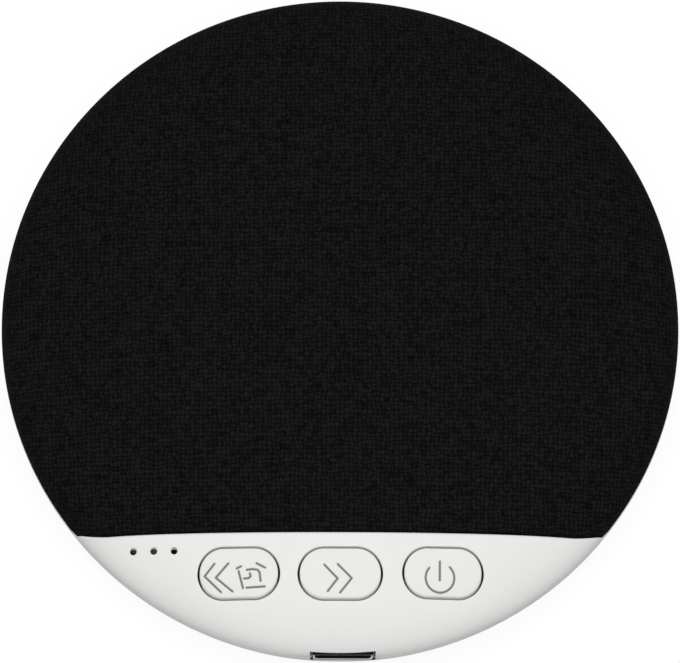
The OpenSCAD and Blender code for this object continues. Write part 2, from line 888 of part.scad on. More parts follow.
module battery_plug() {
    color("#F4F1E8")
    block([plug_at[0], plug_at[1] + 0.4], [4.4, 4, plug_h - 0.6], board_top + 0.6);
}

module battery_lead(side) {
    y0 = cell_at[1] + 3 + side * 1.1;
    x1 = plug_at[0] + side * lead_d;
    z1 = board_top + plug_h / 2 + 0.3;
    lead([[lead_x0, y0, lead_start_z], [lead_x0 + 1.4, y0 + 0.1, lead_start_z],
        [x1 + 0.6, y0 + 2, lead_start_z + 0.6], [x1 + 0.3, lead_end_y + 2.6, z1 - 1.2],
        [x1, lead_end_y + 1.5, z1], [x1, lead_end_y, z1]], lead_d);
}
module battery_lead_red() { color("#A8201C") battery_lead(-1); }
module battery_lead_black() { color("#1A1A1B") battery_lead(1); }

module driver_basket() {
    ring_z = plate_z - 1.4;
    color("#3B3D40")
    difference() {
        union() {
            translate([0, driver_y, 0])
                rotate_extrude()
                    polygon([[flange_r, face_z], [flange_r, face_z - flange_t],
                        [window_r + 1.1, face_z - flange_t], [cup_r + 2.6, ring_z],
                        [cup_r + fit_gap, ring_z], [cup_r + fit_gap, ring_z + 1],
                        [cup_r + 1.8, ring_z + 1], [window_r, face_z - 0.7],
                        [window_r, face_z]]);
            for (at = ear_at)
                post(at, ear_r, face_z - flange_t, face_z);
        }
        for (at = ear_at)
            post(at, small_screw_d / 2 + 0.2, face_z - 2 * flange_t, face_z + 1);
        // Windows in the sloping wall
        for (i = [0 : 5])
            translate([0, driver_y, 0])
                rotate(30 + 60 * i)
                    block([(cup_r + window_r) / 2 + 1.2, 0], [2.6, 7, 10], ring_z + 1);
    }
}

module driver_magnet_cup() {
    color("#8E9094")
    difference() {
        post([0, driver_y], cup_r, cup_z, plate_top);
        post([0, driver_y], cup_in_r, magnet_z, plate_top + 1);
    }
}

module driver_magnet() {
    color("#9FA1A5")
    post([0, driver_y], magnet_d / 2, magnet_z, plate_z);
}

module driver_top_plate() {
    color("#8E9094")
    post([0, driver_y], plate_r, plate_z, plate_top);
}

module driver_gasket() {
    color("#2B2B2C")
    ring([0, driver_y], baffle_in_r, baffle_in_r + baffle_t, gasket_z, baffle_z);
}

module driver_terminal() {
    color("#B5793A")
    translate([0, driver_y, 0])
        rotate(solder_tab_angle) {
            block([flange_r + 1.2, 0], solder_tab, face_z - flange_t - solder_tab[2]);
            for (s = [-1, 1])
                post([flange_r + 1.7, s * lead_d * 2], 0.8, face_z - flange_t - 0.1,
                    face_z - flange_t + 0.3);
        }
}

module speaker_lead(side) {
    c = cos(solder_tab_angle);
    s = sin(solder_tab_angle);
    start = [0, driver_y] + (flange_r + 1.3 + solder_tab[0] / 2) * [c, s]
        + side * lead_d * 2 * [s, -c];
    z0 = face_z - flange_t - solder_tab[2] / 2;
    x1 = -(power_coil_x - 1) - side * lead_d;
    y1 = -board_rear_y - 1.6;
    z1 = board_top + lead_d / 2;
    lead([[start[0], start[1], z0], [start[0] + 0.8 * c, start[1] + 0.8 * s, z0],
        [(start[0] + x1) / 2, (start[1] + y1 + 2) / 2, z0 + 0.3],
        [x1, y1 + 2, z1 + 0.5], [x1, y1 + 1, z1], [x1, y1, z1]], lead_d);
}
module speaker_lead_red() { color("#A8201C") speaker_lead(-1); }
module speaker_lead_black() { color("#1A1A1B") speaker_lead(1); }

// Half roll between the cone's rim and the flange
module cone_surround() {
    mid_r = (cone_r + window_r) / 2;
    roll_r = (window_r - cone_r) / 2 + 0.15;
    steps = 12;
    lip_top = face_z + surround_t;
    side_r = sqrt(roll_r * roll_r - surround_t * surround_t);
    lift = asin(surround_t / roll_r);
    color("#1D1D1E")
    translate([0, driver_y, 0])
        rotate_extrude()
            polygon(concat(
                [[cone_r - 0.9, lip_top], [cone_r - 0.9, face_z]],
                [for (i = [0 : steps]) let (a = 180 - 180 * i / steps)
                    [mid_r + (roll_r - surround_t) * cos(a),
                        face_z + (roll_r - surround_t) * sin(a)]],
                [[flange_r - 0.4, face_z], [flange_r - 0.4, lip_top]],
                [for (i = [0 : steps]) let (a = lift + (180 - 2 * lift) * i / steps)
                    [mid_r + roll_r * cos(a), face_z + roll_r * sin(a)]]));
}

module speaker_cone() {
    color("#2C2D30")
    translate([0, driver_y, 0])
        rotate_extrude()
            polygon([[coil_r, coil_top], [coil_r + 0.65, coil_top],
                [cone_r - 0.8, face_z - cone_t], [cone_r, face_z - cone_t], [cone_r, face_z],
                [cone_r - 0.9, face_z], [coil_r + 0.5, coil_top + cone_t],
                [coil_r, coil_top + cone_t]]);
}

module dust_cap() {
    z0 = coil_top + cone_t;
    cap_h = 1.9;
    steps = 8;
    color("#222326")
    translate([0, driver_y, z0])
        rotate_extrude()
            polygon(concat(
                [for (i = [0 : steps]) let (a = 90 * i / steps)
                    [(coil_r + 0.45) * sin(a), cap_h * cos(a)]],
                [for (i = [steps : -1 : 0]) let (a = 90 * i / steps)
                    [coil_r * sin(a), (cap_h - 0.3) * cos(a)]]));
}

// Former with its winding, which hangs in the magnetic gap
module voice_coil() {
    color("#B0602B")
    translate([0, driver_y, 0])
        rotate_extrude()
            polygon([[coil_r, coil_top], [coil_r, plate_z - 0.7], [coil_r + 0.2, plate_z - 0.7],
                [coil_r + 0.2, plate_z - 0.5], [coil_r + coil_t, plate_z - 0.5],
                [coil_r + coil_t, plate_top + 0.2], [coil_r + 0.2, plate_top + 0.2],
                [coil_r + 0.2, coil_top]]);
}

bottom_shell();
control_panel();
grille_frame();
cloth_cover();
rubber_feet();
case_screws();
panel_screws();
main_board();
board_screws();
switch_housings();
usb_shell();
usb_tongue();
usb_contacts();
status_leds();
light_guide();
microphone();
microphone_boot();
wireless_chip();
amplifier_chip();
clock_crystal();
power_coils();
chip_capacitors();
battery_cell();
battery_pad();
battery_socket();
battery_plug();
battery_lead_red();
battery_lead_black();
driver_basket();
driver_magnet_cup();
driver_magnet();
driver_top_plate();
driver_gasket();
driver_screws();
driver_terminal();
speaker_lead_red();
speaker_lead_black();
cone_surround();
speaker_cone();
dust_cap();
voice_coil();
back_key();
back_plunger();
forward_key();
forward_plunger();
power_key();
power_plunger();
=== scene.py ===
"""Looks of a round under-mattress speaker, built round its packed construction.

The classes hold their sizes in millimetres, as a maker writes them, and every mesh is made
in metres. The casing's surfaces follow one rounded edge, whose sizes are read from the
frame, so each piece lies where its solid lies. Three places are trimmed by up to 0.3 mm to
what is seen: the cloth's front edge, the outlines of the keys and the socket's mouth.
"""
import json
import logging
import math
from dataclasses import dataclass
from enum import Enum
from functools import cache, cached_property
from typing import Any, Callable, ClassVar, Iterator, Optional, Sequence

import bpy
import numpy as np
from mathutils import Matrix, Vector
from mathutils.geometry import delaunay_2d_cdt


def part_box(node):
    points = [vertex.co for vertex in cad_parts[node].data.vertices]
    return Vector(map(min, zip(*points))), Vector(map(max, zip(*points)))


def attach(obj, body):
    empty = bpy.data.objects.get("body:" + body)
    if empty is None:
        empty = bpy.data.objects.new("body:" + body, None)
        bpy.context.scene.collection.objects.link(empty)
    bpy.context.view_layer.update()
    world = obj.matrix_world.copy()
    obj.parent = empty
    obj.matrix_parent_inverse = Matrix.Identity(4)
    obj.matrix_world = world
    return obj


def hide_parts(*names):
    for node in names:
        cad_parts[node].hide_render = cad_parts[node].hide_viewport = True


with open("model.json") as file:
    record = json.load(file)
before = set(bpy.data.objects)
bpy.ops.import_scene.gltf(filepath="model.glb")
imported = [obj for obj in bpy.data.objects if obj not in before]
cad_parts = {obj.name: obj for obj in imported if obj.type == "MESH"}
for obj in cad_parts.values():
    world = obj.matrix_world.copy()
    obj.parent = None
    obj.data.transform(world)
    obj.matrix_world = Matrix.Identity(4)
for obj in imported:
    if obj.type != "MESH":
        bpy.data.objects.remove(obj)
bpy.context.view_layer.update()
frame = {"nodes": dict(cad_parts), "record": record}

MM = 0.001
UP = np.array([0.0, 0.0, 1.0])
BACKWARDS = np.array([0.0, 1.0, 0.0])
# Distance in millimetres within which a point lies on an edge, and which loose points of a
# pattern keep from the port's slot.
ON_EDGE = 0.03
SLOT_MARGIN = 0.35
LOG = logging.getLogger("speaker")
Array = np.ndarray
Piece = bpy.types.Object
Material = bpy.types.Material
Tree = bpy.types.NodeTree
Node = bpy.types.Node
Socket = bpy.types.NodeSocket


def box_mm(node: str) -> tuple[Array, Array]:
    """Gives a node's lowest and highest corner at rest.

    Args:
        node: Name of the node in the frame.

    Returns:
        The two corners in millimetres.
    """
    low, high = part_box(node)
    return np.array(low) / MM, np.array(high) / MM


def corner_boxes(node: str) -> list[tuple[Array, Array]]:
    """Gives the boxes of a node's like pieces, which stand in different quarters.

    Args:
        node: Name of a node that holds a few like pieces round its middle.

    Returns:
        The lowest and highest corner of each piece, in millimetres.
    """
    mesh = frame["nodes"][node].data
    points = np.empty(len(mesh.vertices) * 3)
    mesh.vertices.foreach_get("co", points)
    points = points.reshape(-1, 3) / MM
    middle = (points.min(0) + points.max(0)) / 2
    quarter = (points[:, 0] > middle[0]) * 2 + (points[:, 1] > middle[1])
    parts = [points[quarter == i] for i in range(4)]
    return [(part.min(0), part.max(0)) for part in parts if len(part)]


def undersides(boxes: Sequence[tuple[Array, Array]]) -> list[Array]:
    """Gives the middle of each box's underside."""
    return [np.array([*((low + high)[:2] / 2), low[2]]) for low, high in boxes]


def smooth_step(value: Array, low: float, high: float) -> Array:
    """Rises smoothly from 0 at low to 1 at high."""
    share = np.clip((value - low) / (high - low), 0.0, 1.0)
    return share * share * (3 - 2 * share)


def lengths(vectors: Array) -> Array:
    """Gives the length of each row of vectors."""
    return np.linalg.norm(vectors, axis=1)


def unit_rows(vectors: Array) -> Array:
    """Scales each row of vectors to length one."""
    return vectors / np.maximum(lengths(vectors), 1e-9)[:, None]


def tangents(line: Array) -> Array:
    """Gives the direction of a closed line at each of its points."""
    return unit_rows(np.roll(line, -1, 0) - np.roll(line, 1, 0))


def level(vectors: Array) -> Array:
    """Gives flat vectors a height of zero."""
    return np.column_stack([vectors, np.zeros(len(vectors))])


def dense_line(points: Sequence[Sequence[float]], step: float) -> Array:
    """Adds points along a chain of straight stretches.

    Args:
        points: Corners of the chain.
        step: Largest distance between two points of the result.

    Returns:
        The chain with its corners kept.
    """
    corners = np.asarray(points, float)
    rows = [corners[:1]]
    for start, end in zip(corners[:-1], corners[1:]):
        count = max(1, math.ceil(np.linalg.norm(end - start) / step))
        share = np.arange(1, count + 1)[:, None] / count
        rows.append(start + (end - start) * share)
    return np.vstack(rows)


def arc_line(centre: Sequence[float], radius: float, start: float, end: float, step: float) -> Array:
    """Gives points along an arc.

    Args:
        centre: Middle of the arc.
        radius: Radius of the arc.
        start: First angle in degrees.
        end: Last angle in degrees.
        step: Largest distance between two points.

    Returns:
        The points from the first angle to the last.
    """
    count = max(2, math.ceil(abs(math.radians(end - start)) * radius / step))
    angles = np.radians(np.linspace(start, end, count + 1))
    return np.asarray(centre) + radius * np.column_stack([np.cos(angles), np.sin(angles)])


def ring_line(centre: Sequence[float], radius: float, step: float) -> Array:
    """Gives a closed circle without repeating its first point."""
    return arc_line(centre, radius, 0, 360, step)[:-1]


def pill_distance(points: Array, centre: Sequence[float], length: float, width: float) -> Array:
    """Gives the distance of points from a pill-shaped outline along X, negative inside it."""
    side, up = (np.abs(points - np.asarray(centre)) - ((length - width) / 2, 0.0)).T
    return np.hypot(np.maximum(side, 0.0), up) - width / 2


def pill_line(centre: Sequence[float], length: float, width: float, step: float) -> Array:
    """Gives the closed outline of a pill along X, without repeating its first point.

    Args:
        centre: Middle of the pill.
        length: Its length.
        width: Its width.
        step: Largest gap between two points.

    Returns:
        The points, the way round that angles rise.
    """
    x, y = centre
    straight = (length - width) / 2
    right = arc_line((x + straight, y), width / 2, -90, 90, step)
    left = arc_line((x - straight, y), width / 2, 90, 270, step)
    line = dense_line(np.vstack([right, left, right[:1]]), step)
    return line[:-1]


def hex_grid(low: Sequence[float], high: Sequence[float], pitch: float) -> Array:
    """Gives the points of a grid of triangles with a given side over a rectangle.

    Args:
        low: Lowest corner of the rectangle.
        high: Highest corner.
        pitch: Side of a triangle.

    Returns:
        The points, row by row.
    """
    rise = pitch * math.sqrt(3) / 2
    rows = np.arange(low[1], high[1], rise)
    columns = np.arange(low[0], high[0], pitch)
    x = columns[None, :] + (np.arange(len(rows)) % 2)[:, None] * pitch / 2
    y = np.repeat(rows[:, None], len(columns), axis=1)
    return np.column_stack([x.ravel(), y.ravel()])


def chain_distance(points: Array, chains: Sequence[Array]) -> Array:
    """Gives the distance of points from the nearest of some chains of straight stretches.

    Args:
        points: Positions to measure.
        chains: Corners of each chain.

    Returns:
        Distance of each position.
    """
    best = np.full(len(points), np.inf)
    for chain in chains:
        for start, end in zip(chain[:-1], chain[1:]):
            along = end - start
            share = np.clip((points - start) @ along / max(along @ along, 1e-12), 0, 1)
            best = np.minimum(best, lengths(points - start - share[:, None] * along))
    return best


@dataclass(frozen=True)
class RoundedEdge:
    """Profile of a casing from the middle of its flat to its rim.

    Beyond the flat it is a quarter of a superellipse, which is squarer than an ellipse.
    A run is the distance from the middle, measured along the surface.
    """

    flat_r: float
    rim_r: float
    height: float
    squareness: float

    @cached_property
    def table(self) -> dict[str, Array]:
        """Angle, radius, height and run at close steps along the profile.

        Returns:
            The four columns by name.
        """
        share = np.linspace(0.0, 1.0, 6001)
        angle = math.pi / 2 * share * share * (3 - 2 * share)
        power = 2 / self.squareness
        radius = self.flat_r + (self.rim_r - self.flat_r) * np.sin(angle) ** power
        height = self.height * np.maximum(np.cos(angle), 0.0) ** power
        steps = np.hypot(np.diff(radius), np.diff(height))
        run = self.flat_r + np.concatenate([[0.0], np.cumsum(steps)])
        return {"angle": angle, "radius": radius, "height": height, "run": run}

    @property
    def rim_run(self) -> float:
        """Run of the rim."""
        return float(self.table["run"][-1])

    def at_run(self, run: Array) -> tuple[Array, Array, Array]:
        """Gives radius, height over the parting plane and angle at a run.

        Args:
            run: Runs along the profile.

        Returns:
            The three for each run.
        """
        table = self.table
        radius = np.where(run < self.flat_r, run, np.interp(run, table["run"], table["radius"]))
        height = np.interp(run, table["run"], table["height"])
        return radius, height, np.interp(run, table["run"], table["angle"])

    def run_at(self, radius: Array) -> Array:
        """Gives the run at a radius, which goes on outside the rim."""
        run = np.interp(radius, self.table["radius"], self.table["run"])
        return np.where(radius < self.flat_r, radius, run) + np.maximum(radius - self.rim_r, 0.0)

    def height_at(self, radius: Array) -> Array:
        """Gives the height over the parting plane at a radius."""
        return np.interp(radius, self.table["radius"], self.table["height"])

    def radius_at(self, height: Array) -> Array:
        """Gives the radius at a height over the parting plane."""
        return np.interp(height, self.table["height"][::-1], self.table["radius"][::-1])


@dataclass(frozen=True)
class Surface:
    """One face of the casing: a rounded edge turned about the upright axis.

    A pattern point holds the run and the bearing of a point as a flat position, so that a
    pattern is the surface rolled out round its middle.
    """

    edge: RoundedEdge
    parting_z: float
    front_y: float
    facing: float
    front_softness: float = 0.08

    def plan(self, pattern: Array) -> Array:
        """Gives the position seen from above of pattern points."""
        run = lengths(pattern)
        return pattern * (self.edge.at_run(run)[0] / np.maximum(run, 1e-9))[:, None]

    def pattern(self, plan: Array) -> Array:
        """Gives the pattern points of positions seen from above."""
        radius = lengths(plan)
        return plan * (self.edge.run_at(radius) / np.maximum(radius, 1e-9))[:, None]

    def place(self, pattern: Array) -> Array:
        """Gives the points on the surface, with the small front flat cut off.

        Args:
            pattern: Pattern points.

        Returns:
            Their places in space.
        """
        plan = self.plan(pattern)
        past = (self.front_y - plan[:, 1]) / self.front_softness
        plan[:, 1] += self.front_softness * np.logaddexp(0.0, past)
        height = self.edge.at_run(lengths(pattern))[1]
        return np.column_stack([plan, self.parting_z + self.facing * height])

    def slopes(self, pattern: Array) -> tuple[Array, Array]:
        """Gives the outward direction along the surface and the outward normal.

        Args:
            pattern: Pattern points.

        Returns:
            Unit vectors that lead away from the middle along the surface, and unit normals.
        """
        run = lengths(pattern)
        step = 0.02
        before = self.edge.at_run(np.maximum(run - step, 0.0))
        after = self.edge.at_run(np.minimum(run + step, self.edge.rim_run))
        out = np.column_stack([after[0] - before[0], self.facing * (after[1] - before[1])])
        out = unit_rows(out)
        bearing = pattern / np.maximum(run, 1e-9)[:, None]
        along = np.column_stack([bearing * out[:, :1], out[:, 1]])
        normal = np.column_stack([-bearing * out[:, 1:] * self.facing, out[:, 0] * self.facing])
        return along, normal

    def band(self, heights: Array, x: Array) -> Array:
        """Gives pattern points at the front from heights over the base plane and places in X."""
        radius = self.edge.radius_at((heights - self.parting_z) * self.facing)
        plan = np.column_stack([x, -np.sqrt(np.maximum(radius**2 - x**2, 0.0))])
        return self.pattern(plan)


@dataclass(frozen=True)
class CaseForm:
    """Sizes of the whole casing, most of them read from the frame."""

    rim_r: float
    top_z: float
    parting_z: float
    base_z: float
    front_y: float
    edge_y: float
    squareness: float = 2.3
    base_flat_r: float = 30.0
    corner_r: float = 13.5
    corner_run: float = 4.0
    run_out: float = 1.5
    seam_ahead: ClassVar[float] = 0.12

    @classmethod
    def from_frame(cls) -> "CaseForm":
        """Reads the casing's sizes from its nodes.

        Returns:
            The sizes.
        """
        cloth_low, cloth_high = box_mm("cloth_cover")
        panel_low, _ = box_mm("control_panel")
        shell_low, _ = box_mm("bottom_shell")
        return cls(
            rim_r=cloth_high[0],
            top_z=cloth_high[2],
            parting_z=panel_low[2],
            base_z=shell_low[2],
            front_y=panel_low[1],
            edge_y=cloth_low[1] - cls.seam_ahead,
        )

    @cached_property
    def crown(self) -> Surface:
        """Upper face of the casing."""
        edge = RoundedEdge(0.0, self.rim_r, self.top_z - self.parting_z, self.squareness)
        return Surface(edge, self.parting_z, self.front_y, 1.0)

    @cached_property
    def bowl(self) -> Surface:
        """Lower face of the casing."""
        edge = RoundedEdge(self.base_flat_r, self.rim_r, self.parting_z - self.base_z, self.squareness)
        return Surface(edge, self.parting_z, self.front_y, -1.0)

    @property
    def corner_x(self) -> float:
        """Where the cloth's straight front edge starts to turn."""
        return math.sqrt(self.rim_r**2 - self.edge_y**2) - self.corner_run

    def ahead_of_cloth(self, plan: Array) -> Array:
        """Gives the distance of positions before the cloth's front edge, negative behind it.

        Args:
            plan: Positions seen from above.

        Returns:
            Distance of each.
        """
        side = np.abs(plan[:, 0]) - self.corner_x
        turn_y = self.edge_y + self.corner_r
        past = turn_y - plan[:, 1]
        turned = np.hypot(side, np.maximum(past, 0.0)) - self.corner_r + np.minimum(past, 0.0)
        return np.where(side > 0, turned, self.edge_y - plan[:, 1])

    def towards_cloth(self, plan: Array) -> Array:
        """Gives the level direction square to the cloth's front edge, towards the cloth."""
        side = np.maximum(np.abs(plan[:, 0]) - self.corner_x, 0.0) * np.sign(plan[:, 0])
        return unit_rows(np.column_stack([-side, self.edge_y + self.corner_r - plan[:, 1]]))

    def front_edge(self, ahead: float, step: float) -> Array:
        """Gives a line at a distance before the cloth's front edge, from left to right.

        Args:
            ahead: Distance before the edge.
            step: Largest gap between two points.

        Returns:
            The line seen from above.
        """
        turn_y = self.edge_y + self.corner_r
        radius = self.corner_r + ahead
        turn = math.degrees(math.asin(min(1.0, (self.corner_run + self.run_out) / radius)))
        right = arc_line((self.corner_x, turn_y), radius, -90, turn - 90, step)
        left = right[::-1] * (-1, 1)
        middle = dense_line([left[-1], right[0]], step)
        return np.vstack([left, middle[1:-1], right])


class Pattern:
    """Flat pattern of a skin: lines that stay, and loose points, joined into triangles."""

    def __init__(self) -> None:
        """Starts an empty pattern."""
        self.points: list[Array] = []
        self.edges: list[Array] = []
        self.borders: set[int] = set()
        self.count = 0
        self.edge_count = 0

    def add_line(self, line: Array, closed: bool = False, border: bool = True) -> None:
        """Adds a line whose stretches stay as edges of triangles.

        Args:
            line: Points of the line.
            closed: Whether the last point joins the first.
            border: Whether the skin may end at the line.
        """
        first = self.count + np.arange(len(line))
        pairs = np.column_stack([first, np.roll(first, -1)])
        pairs = pairs if closed else pairs[:-1]
        if border:
            self.borders.update(range(self.edge_count, self.edge_count + len(pairs)))
        self.edges.append(pairs)
        self.edge_count += len(pairs)
        self.add_points(line)

    def add_points(self, points: Array) -> None:
        """Adds loose points."""
        self.points.append(points)
        self.count += len(points)

    def join(self, keep: Callable[[Array], Array]) -> tuple[Array, Array]:
        """Joins the points into triangles.

        Args:
            keep: Tells for the middles of triangles which of them belong to the skin. It
                decides for whole fields between borders.

        Returns:
            The points in use and the triangles, turned the same way.
        """
        points = [Vector(p) for p in np.vstack(self.points)]
        edges = [tuple(int(i) for i in e) for e in np.vstack(self.edges)]
        found = delaunay_2d_cdt(points, edges, [], 0, 1e-5)
        places = np.array([tuple(p) for p in found[0]])
        corners = np.array([f for f in found[2] if len(f) == 3])
        borders = {
            frozenset(edge)
            for edge, sources in zip(found[1], found[4])
            if self.borders.intersection(sources)
        }
        a, b, c = (places[corners[:, i]] for i in range(3))
        area = (b - a)[:, 0] * (c - a)[:, 1] - (b - a)[:, 1] * (c - a)[:, 0]
        corners[area < 0] = corners[area < 0][:, ::-1]
        fields = find_fields(corners, borders)
        votes = np.where(keep((a + b + c) / 3), 1.0, -1.0) * np.abs(area)
        chosen = np.bincount(fields, weights=votes) > 0
        used, corners = np.unique(corners[chosen[fields]], return_inverse=True)
        return places[used], corners.reshape(-1, 3)


def find_fields(triangles: Array, borders: set[frozenset[int]]) -> Array:
    """Numbers the fields of triangles that borders part from each other.

    Args:
        triangles: Corners of the triangles.
        borders: Edges that part two fields.

    Returns:
        The field of each triangle.
    """
    beside: dict[frozenset[int], list[int]] = {}
    for index, (a, b, c) in enumerate(triangles.tolist()):
        for edge in (frozenset((a, b)), frozenset((b, c)), frozenset((c, a))):
            if edge not in borders:
                beside.setdefault(edge, []).append(index)
    near: list[list[int]] = [[] for _ in triangles]
    for pair in beside.values():
        if len(pair) == 2:
            near[pair[0]].append(pair[1])
            near[pair[1]].append(pair[0])
    fields = np.full(len(triangles), -1)
    for start in range(len(triangles)):
        if fields[start] < 0:
            fields[start], waiting = start, [start]
            while waiting:
                fresh = [i for i in near[waiting.pop()] if fields[i] < 0]
                fields[fresh] = start
                waiting += fresh
    return fields


def edge_loops(triangles: Array) -> list[Array]:
    """Finds the free edges of a skin.

    Args:
        triangles: Triangles that are turned the same way.

    Returns:
        Closed chains of points, each with the skin on its left.
    """
    edges = {(int(t[i]), int(t[(i + 1) % 3])) for t in triangles for i in range(3)}
    following = {a: b for a, b in edges if (b, a) not in edges}
    loops = []
    while following:
        start, here = following.popitem()
        loop = [start]
        while here != start:
            loop.append(here)
            here = following.pop(here)
        loops.append(np.array(loop))
    return sorted(loops, key=lambda loop: (-len(loop), int(loop.min())))


@dataclass
class EdgeTurn:
    """How a skin turns over at one of its edges and goes down.

    Over leads on past the edge, and down follows the wall below it. Each value is one for the
    whole edge, or one for each of its points. A blind edge leads into a well with a floor.
    """

    over: Array
    down: Array
    fillet: float | Array
    depth: float | Array
    blind: bool = False

    def rows(self, edge: Array, steps: int) -> Iterator[tuple[Array, Array]]:
        """Gives the rows of points over the fillet and at the end of the wall.

        Args:
            edge: Places of the edge's points.
            steps: Rows in the fillet.

        Yields:
            The distance from the edge along the skin, and the places of the row.
        """
        fillet = np.broadcast_to(self.fillet, (len(edge),))[:, None]
        for angle in np.linspace(0, math.pi / 2, steps + 1)[1:]:
            swing = math.sin(angle) * self.over + (1 - math.cos(angle)) * self.down
            yield fillet * angle, edge + fillet * swing
        depth = np.broadcast_to(self.depth, (len(edge),))[:, None]
        yield (
            fillet * math.pi / 2 + depth,
            edge + fillet * (self.over + self.down) + depth * self.down,
        )


def turn_at_wall(normal: Array, ahead: Array) -> tuple[Array, Array]:
    """Gives how a skin turns down beside an upright wall, such as the cloth before the panel.

    Args:
        normal: Outward normals of the skin at its edge.
        ahead: Level unit directions out of the skin, square to the wall.

    Returns:
        Directions along the skin that gain one unit ahead, and unit directions in the wall.
    """
    ahead = level(ahead)
    lean = (normal * ahead).sum(axis=1, keepdims=True)
    return (ahead - lean * normal) / (1 - lean**2), unit_rows(lean * ahead - normal)


class MeshPlan:
    """Points and faces of one piece, in millimetres, gathered before its mesh is made."""

    def __init__(self) -> None:
        """Starts an empty plan."""
        self.points: list[Array] = []
        self.faces: list[tuple[int, ...]] = []
        self.count = 0

    def add(self, points: Array) -> Array:
        """Adds points and gives their numbers."""
        self.points.append(np.asarray(points, float))
        self.count += len(points)
        return np.arange(self.count - len(points), self.count)

    def strip(self, upper: Array, lower: Array) -> None:
        """Joins two closed rows of points, with the skin on the left of the upper one."""
        quads = np.column_stack([np.roll(upper, -1), upper, lower, np.roll(lower, -1)])
        self.faces += [tuple(int(i) for i in quad) for quad in quads]

    def fan(self, row: Array) -> None:
        """Closes a row round its middle."""
        centre = int(self.add(np.vstack(self.points)[row].mean(axis=0)[None])[0])
        self.faces += [(int(b), int(a), centre) for a, b in zip(row, np.roll(row, -1))]

    def triangles(self, corners: Array) -> None:
        """Adds triangles."""
        self.faces += [tuple(int(i) for i in corner) for corner in corners]

    def rings(
        self, profile: Sequence[Sequence[float]], centre: Sequence[float], sides: int
    ) -> list[Array]:
        """Adds level rings about an upright axis and joins each with the next.

        Args:
            profile: Radius and height of each ring, down the outside.
            centre: Place of the axis seen from above.
            sides: Number of points in a ring.

        Returns:
            The numbers of each ring's points.
        """
        turn = np.linspace(0, 2 * math.pi, sides, endpoint=False)
        ring = np.column_stack([np.cos(turn), np.sin(turn)])
        rows = [
            self.add(np.column_stack([np.asarray(centre) + ring * radius, np.full(sides, z)]))
            for radius, z in profile
        ]
        for upper, lower in zip(rows[:-1], rows[1:]):
            self.strip(upper, lower)
        return rows

    def shell(
        self,
        triangles: Array,
        outside: Array,
        inside: Array,
        turn_of: Callable[[Array], EdgeTurn],
        steps: int = 5,
    ) -> None:
        """Adds a closed skin with an outer and an inner face and filleted edges.

        Args:
            triangles: Triangles of the skin.
            outside: Places of its points on the outer face.
            inside: Places of its points on the inner face.
            turn_of: Gives how the skin turns over along one of its edges.
            steps: Rows in a fillet.
        """
        top = self.add(outside)
        self.triangles(top[triangles])
        linked = np.full(len(outside), -1)
        wells = []
        for loop in edge_loops(triangles):
            turn = turn_of(loop)
            row = top[loop]
            for _, places in turn.rows(outside[loop], steps):
                last, row = row, self.add(places)
                self.strip(last, row)
            if turn.blind:
                self.fan(row)
                wells.append(loop)
            else:
                linked[loop] = row
        free = linked < 0
        linked[free] = self.add(inside[free])
        self.triangles(linked[triangles][:, ::-1])
        for loop in wells:
            self.fan(linked[loop][::-1])

    def make(self, name: str, sharp: float = 50.0) -> Piece:
        """Makes the piece.

        Args:
            name: Name of the piece.
            sharp: Angle in degrees from which an edge is shaded as sharp.

        Returns:
            The object, at the origin.
        """
        mesh = bpy.data.meshes.new(name)
        points = np.vstack(self.points) * MM
        mesh.from_pydata(points.tolist(), [], self.faces, shade_flat=False)
        mesh.validate()
        mesh.set_sharp_from_angle(angle=math.radians(sharp))
        return add_object(name, mesh)


def add_object(name: str, data: bpy.types.ID) -> Piece:
    """Adds an object with its data to the scene, at the origin."""
    piece = bpy.data.objects.new(name, data)
    bpy.context.scene.collection.objects.link(piece)
    return piece


def store(piece: Piece, name: str, values: Array) -> None:
    """Stores one number, or one vector, for each point of a piece."""
    kind, key = ("FLOAT", "value") if values.ndim == 1 else ("FLOAT_VECTOR", "vector")
    attribute = piece.data.attributes.new(name, kind, "POINT")
    attribute.data.foreach_set(key, np.ascontiguousarray(values, np.float32).ravel())


def linear(hex_colour: str) -> tuple[float, float, float, float]:
    """Turns an sRGB hex value such as #ECEBE7 to linear."""
    values = [int(hex_colour[i : i + 2], 16) / 255 for i in (1, 3, 5)]
    red, green, blue = (v / 12.92 if v <= 0.04045 else ((v + 0.055) / 1.055) ** 2.4 for v in values)
    return red, green, blue, 1.0


def add_node(
    tree: Tree, kind: str, inputs: Optional[dict[Any, Any]] = None, **settings: Any
) -> Node:
    """Adds a node with its settings, and fills its inputs with values or links.

    Args:
        tree: Tree that gets the node.
        kind: Type name of the node.
        inputs: Value or output socket for each input, by the input's name or number.
        settings: Properties of the node.

    Returns:
        The new node.
    """
    node = tree.nodes.new(kind)
    for name, value in settings.items():
        setattr(node, name, value)
    for key, value in (inputs or {}).items():
        if isinstance(value, Socket):
            tree.links.new(value, node.inputs[key])
        else:
            node.inputs[key].default_value = value
    return node


def start_material(name: str) -> tuple[Material, Tree]:
    """Starts a node material without nodes.

    Args:
        name: Name of the material.

    Returns:
        The material and its tree.
    """
    material = bpy.data.materials.new(name)
    material.use_nodes = True
    material.node_tree.nodes.clear()
    return material, material.node_tree


def end_material(tree: Tree, shader: Node) -> None:
    """Leads a shader to the material's surface."""
    add_node(tree, "ShaderNodeOutputMaterial", {"Surface": shader.outputs[0]})


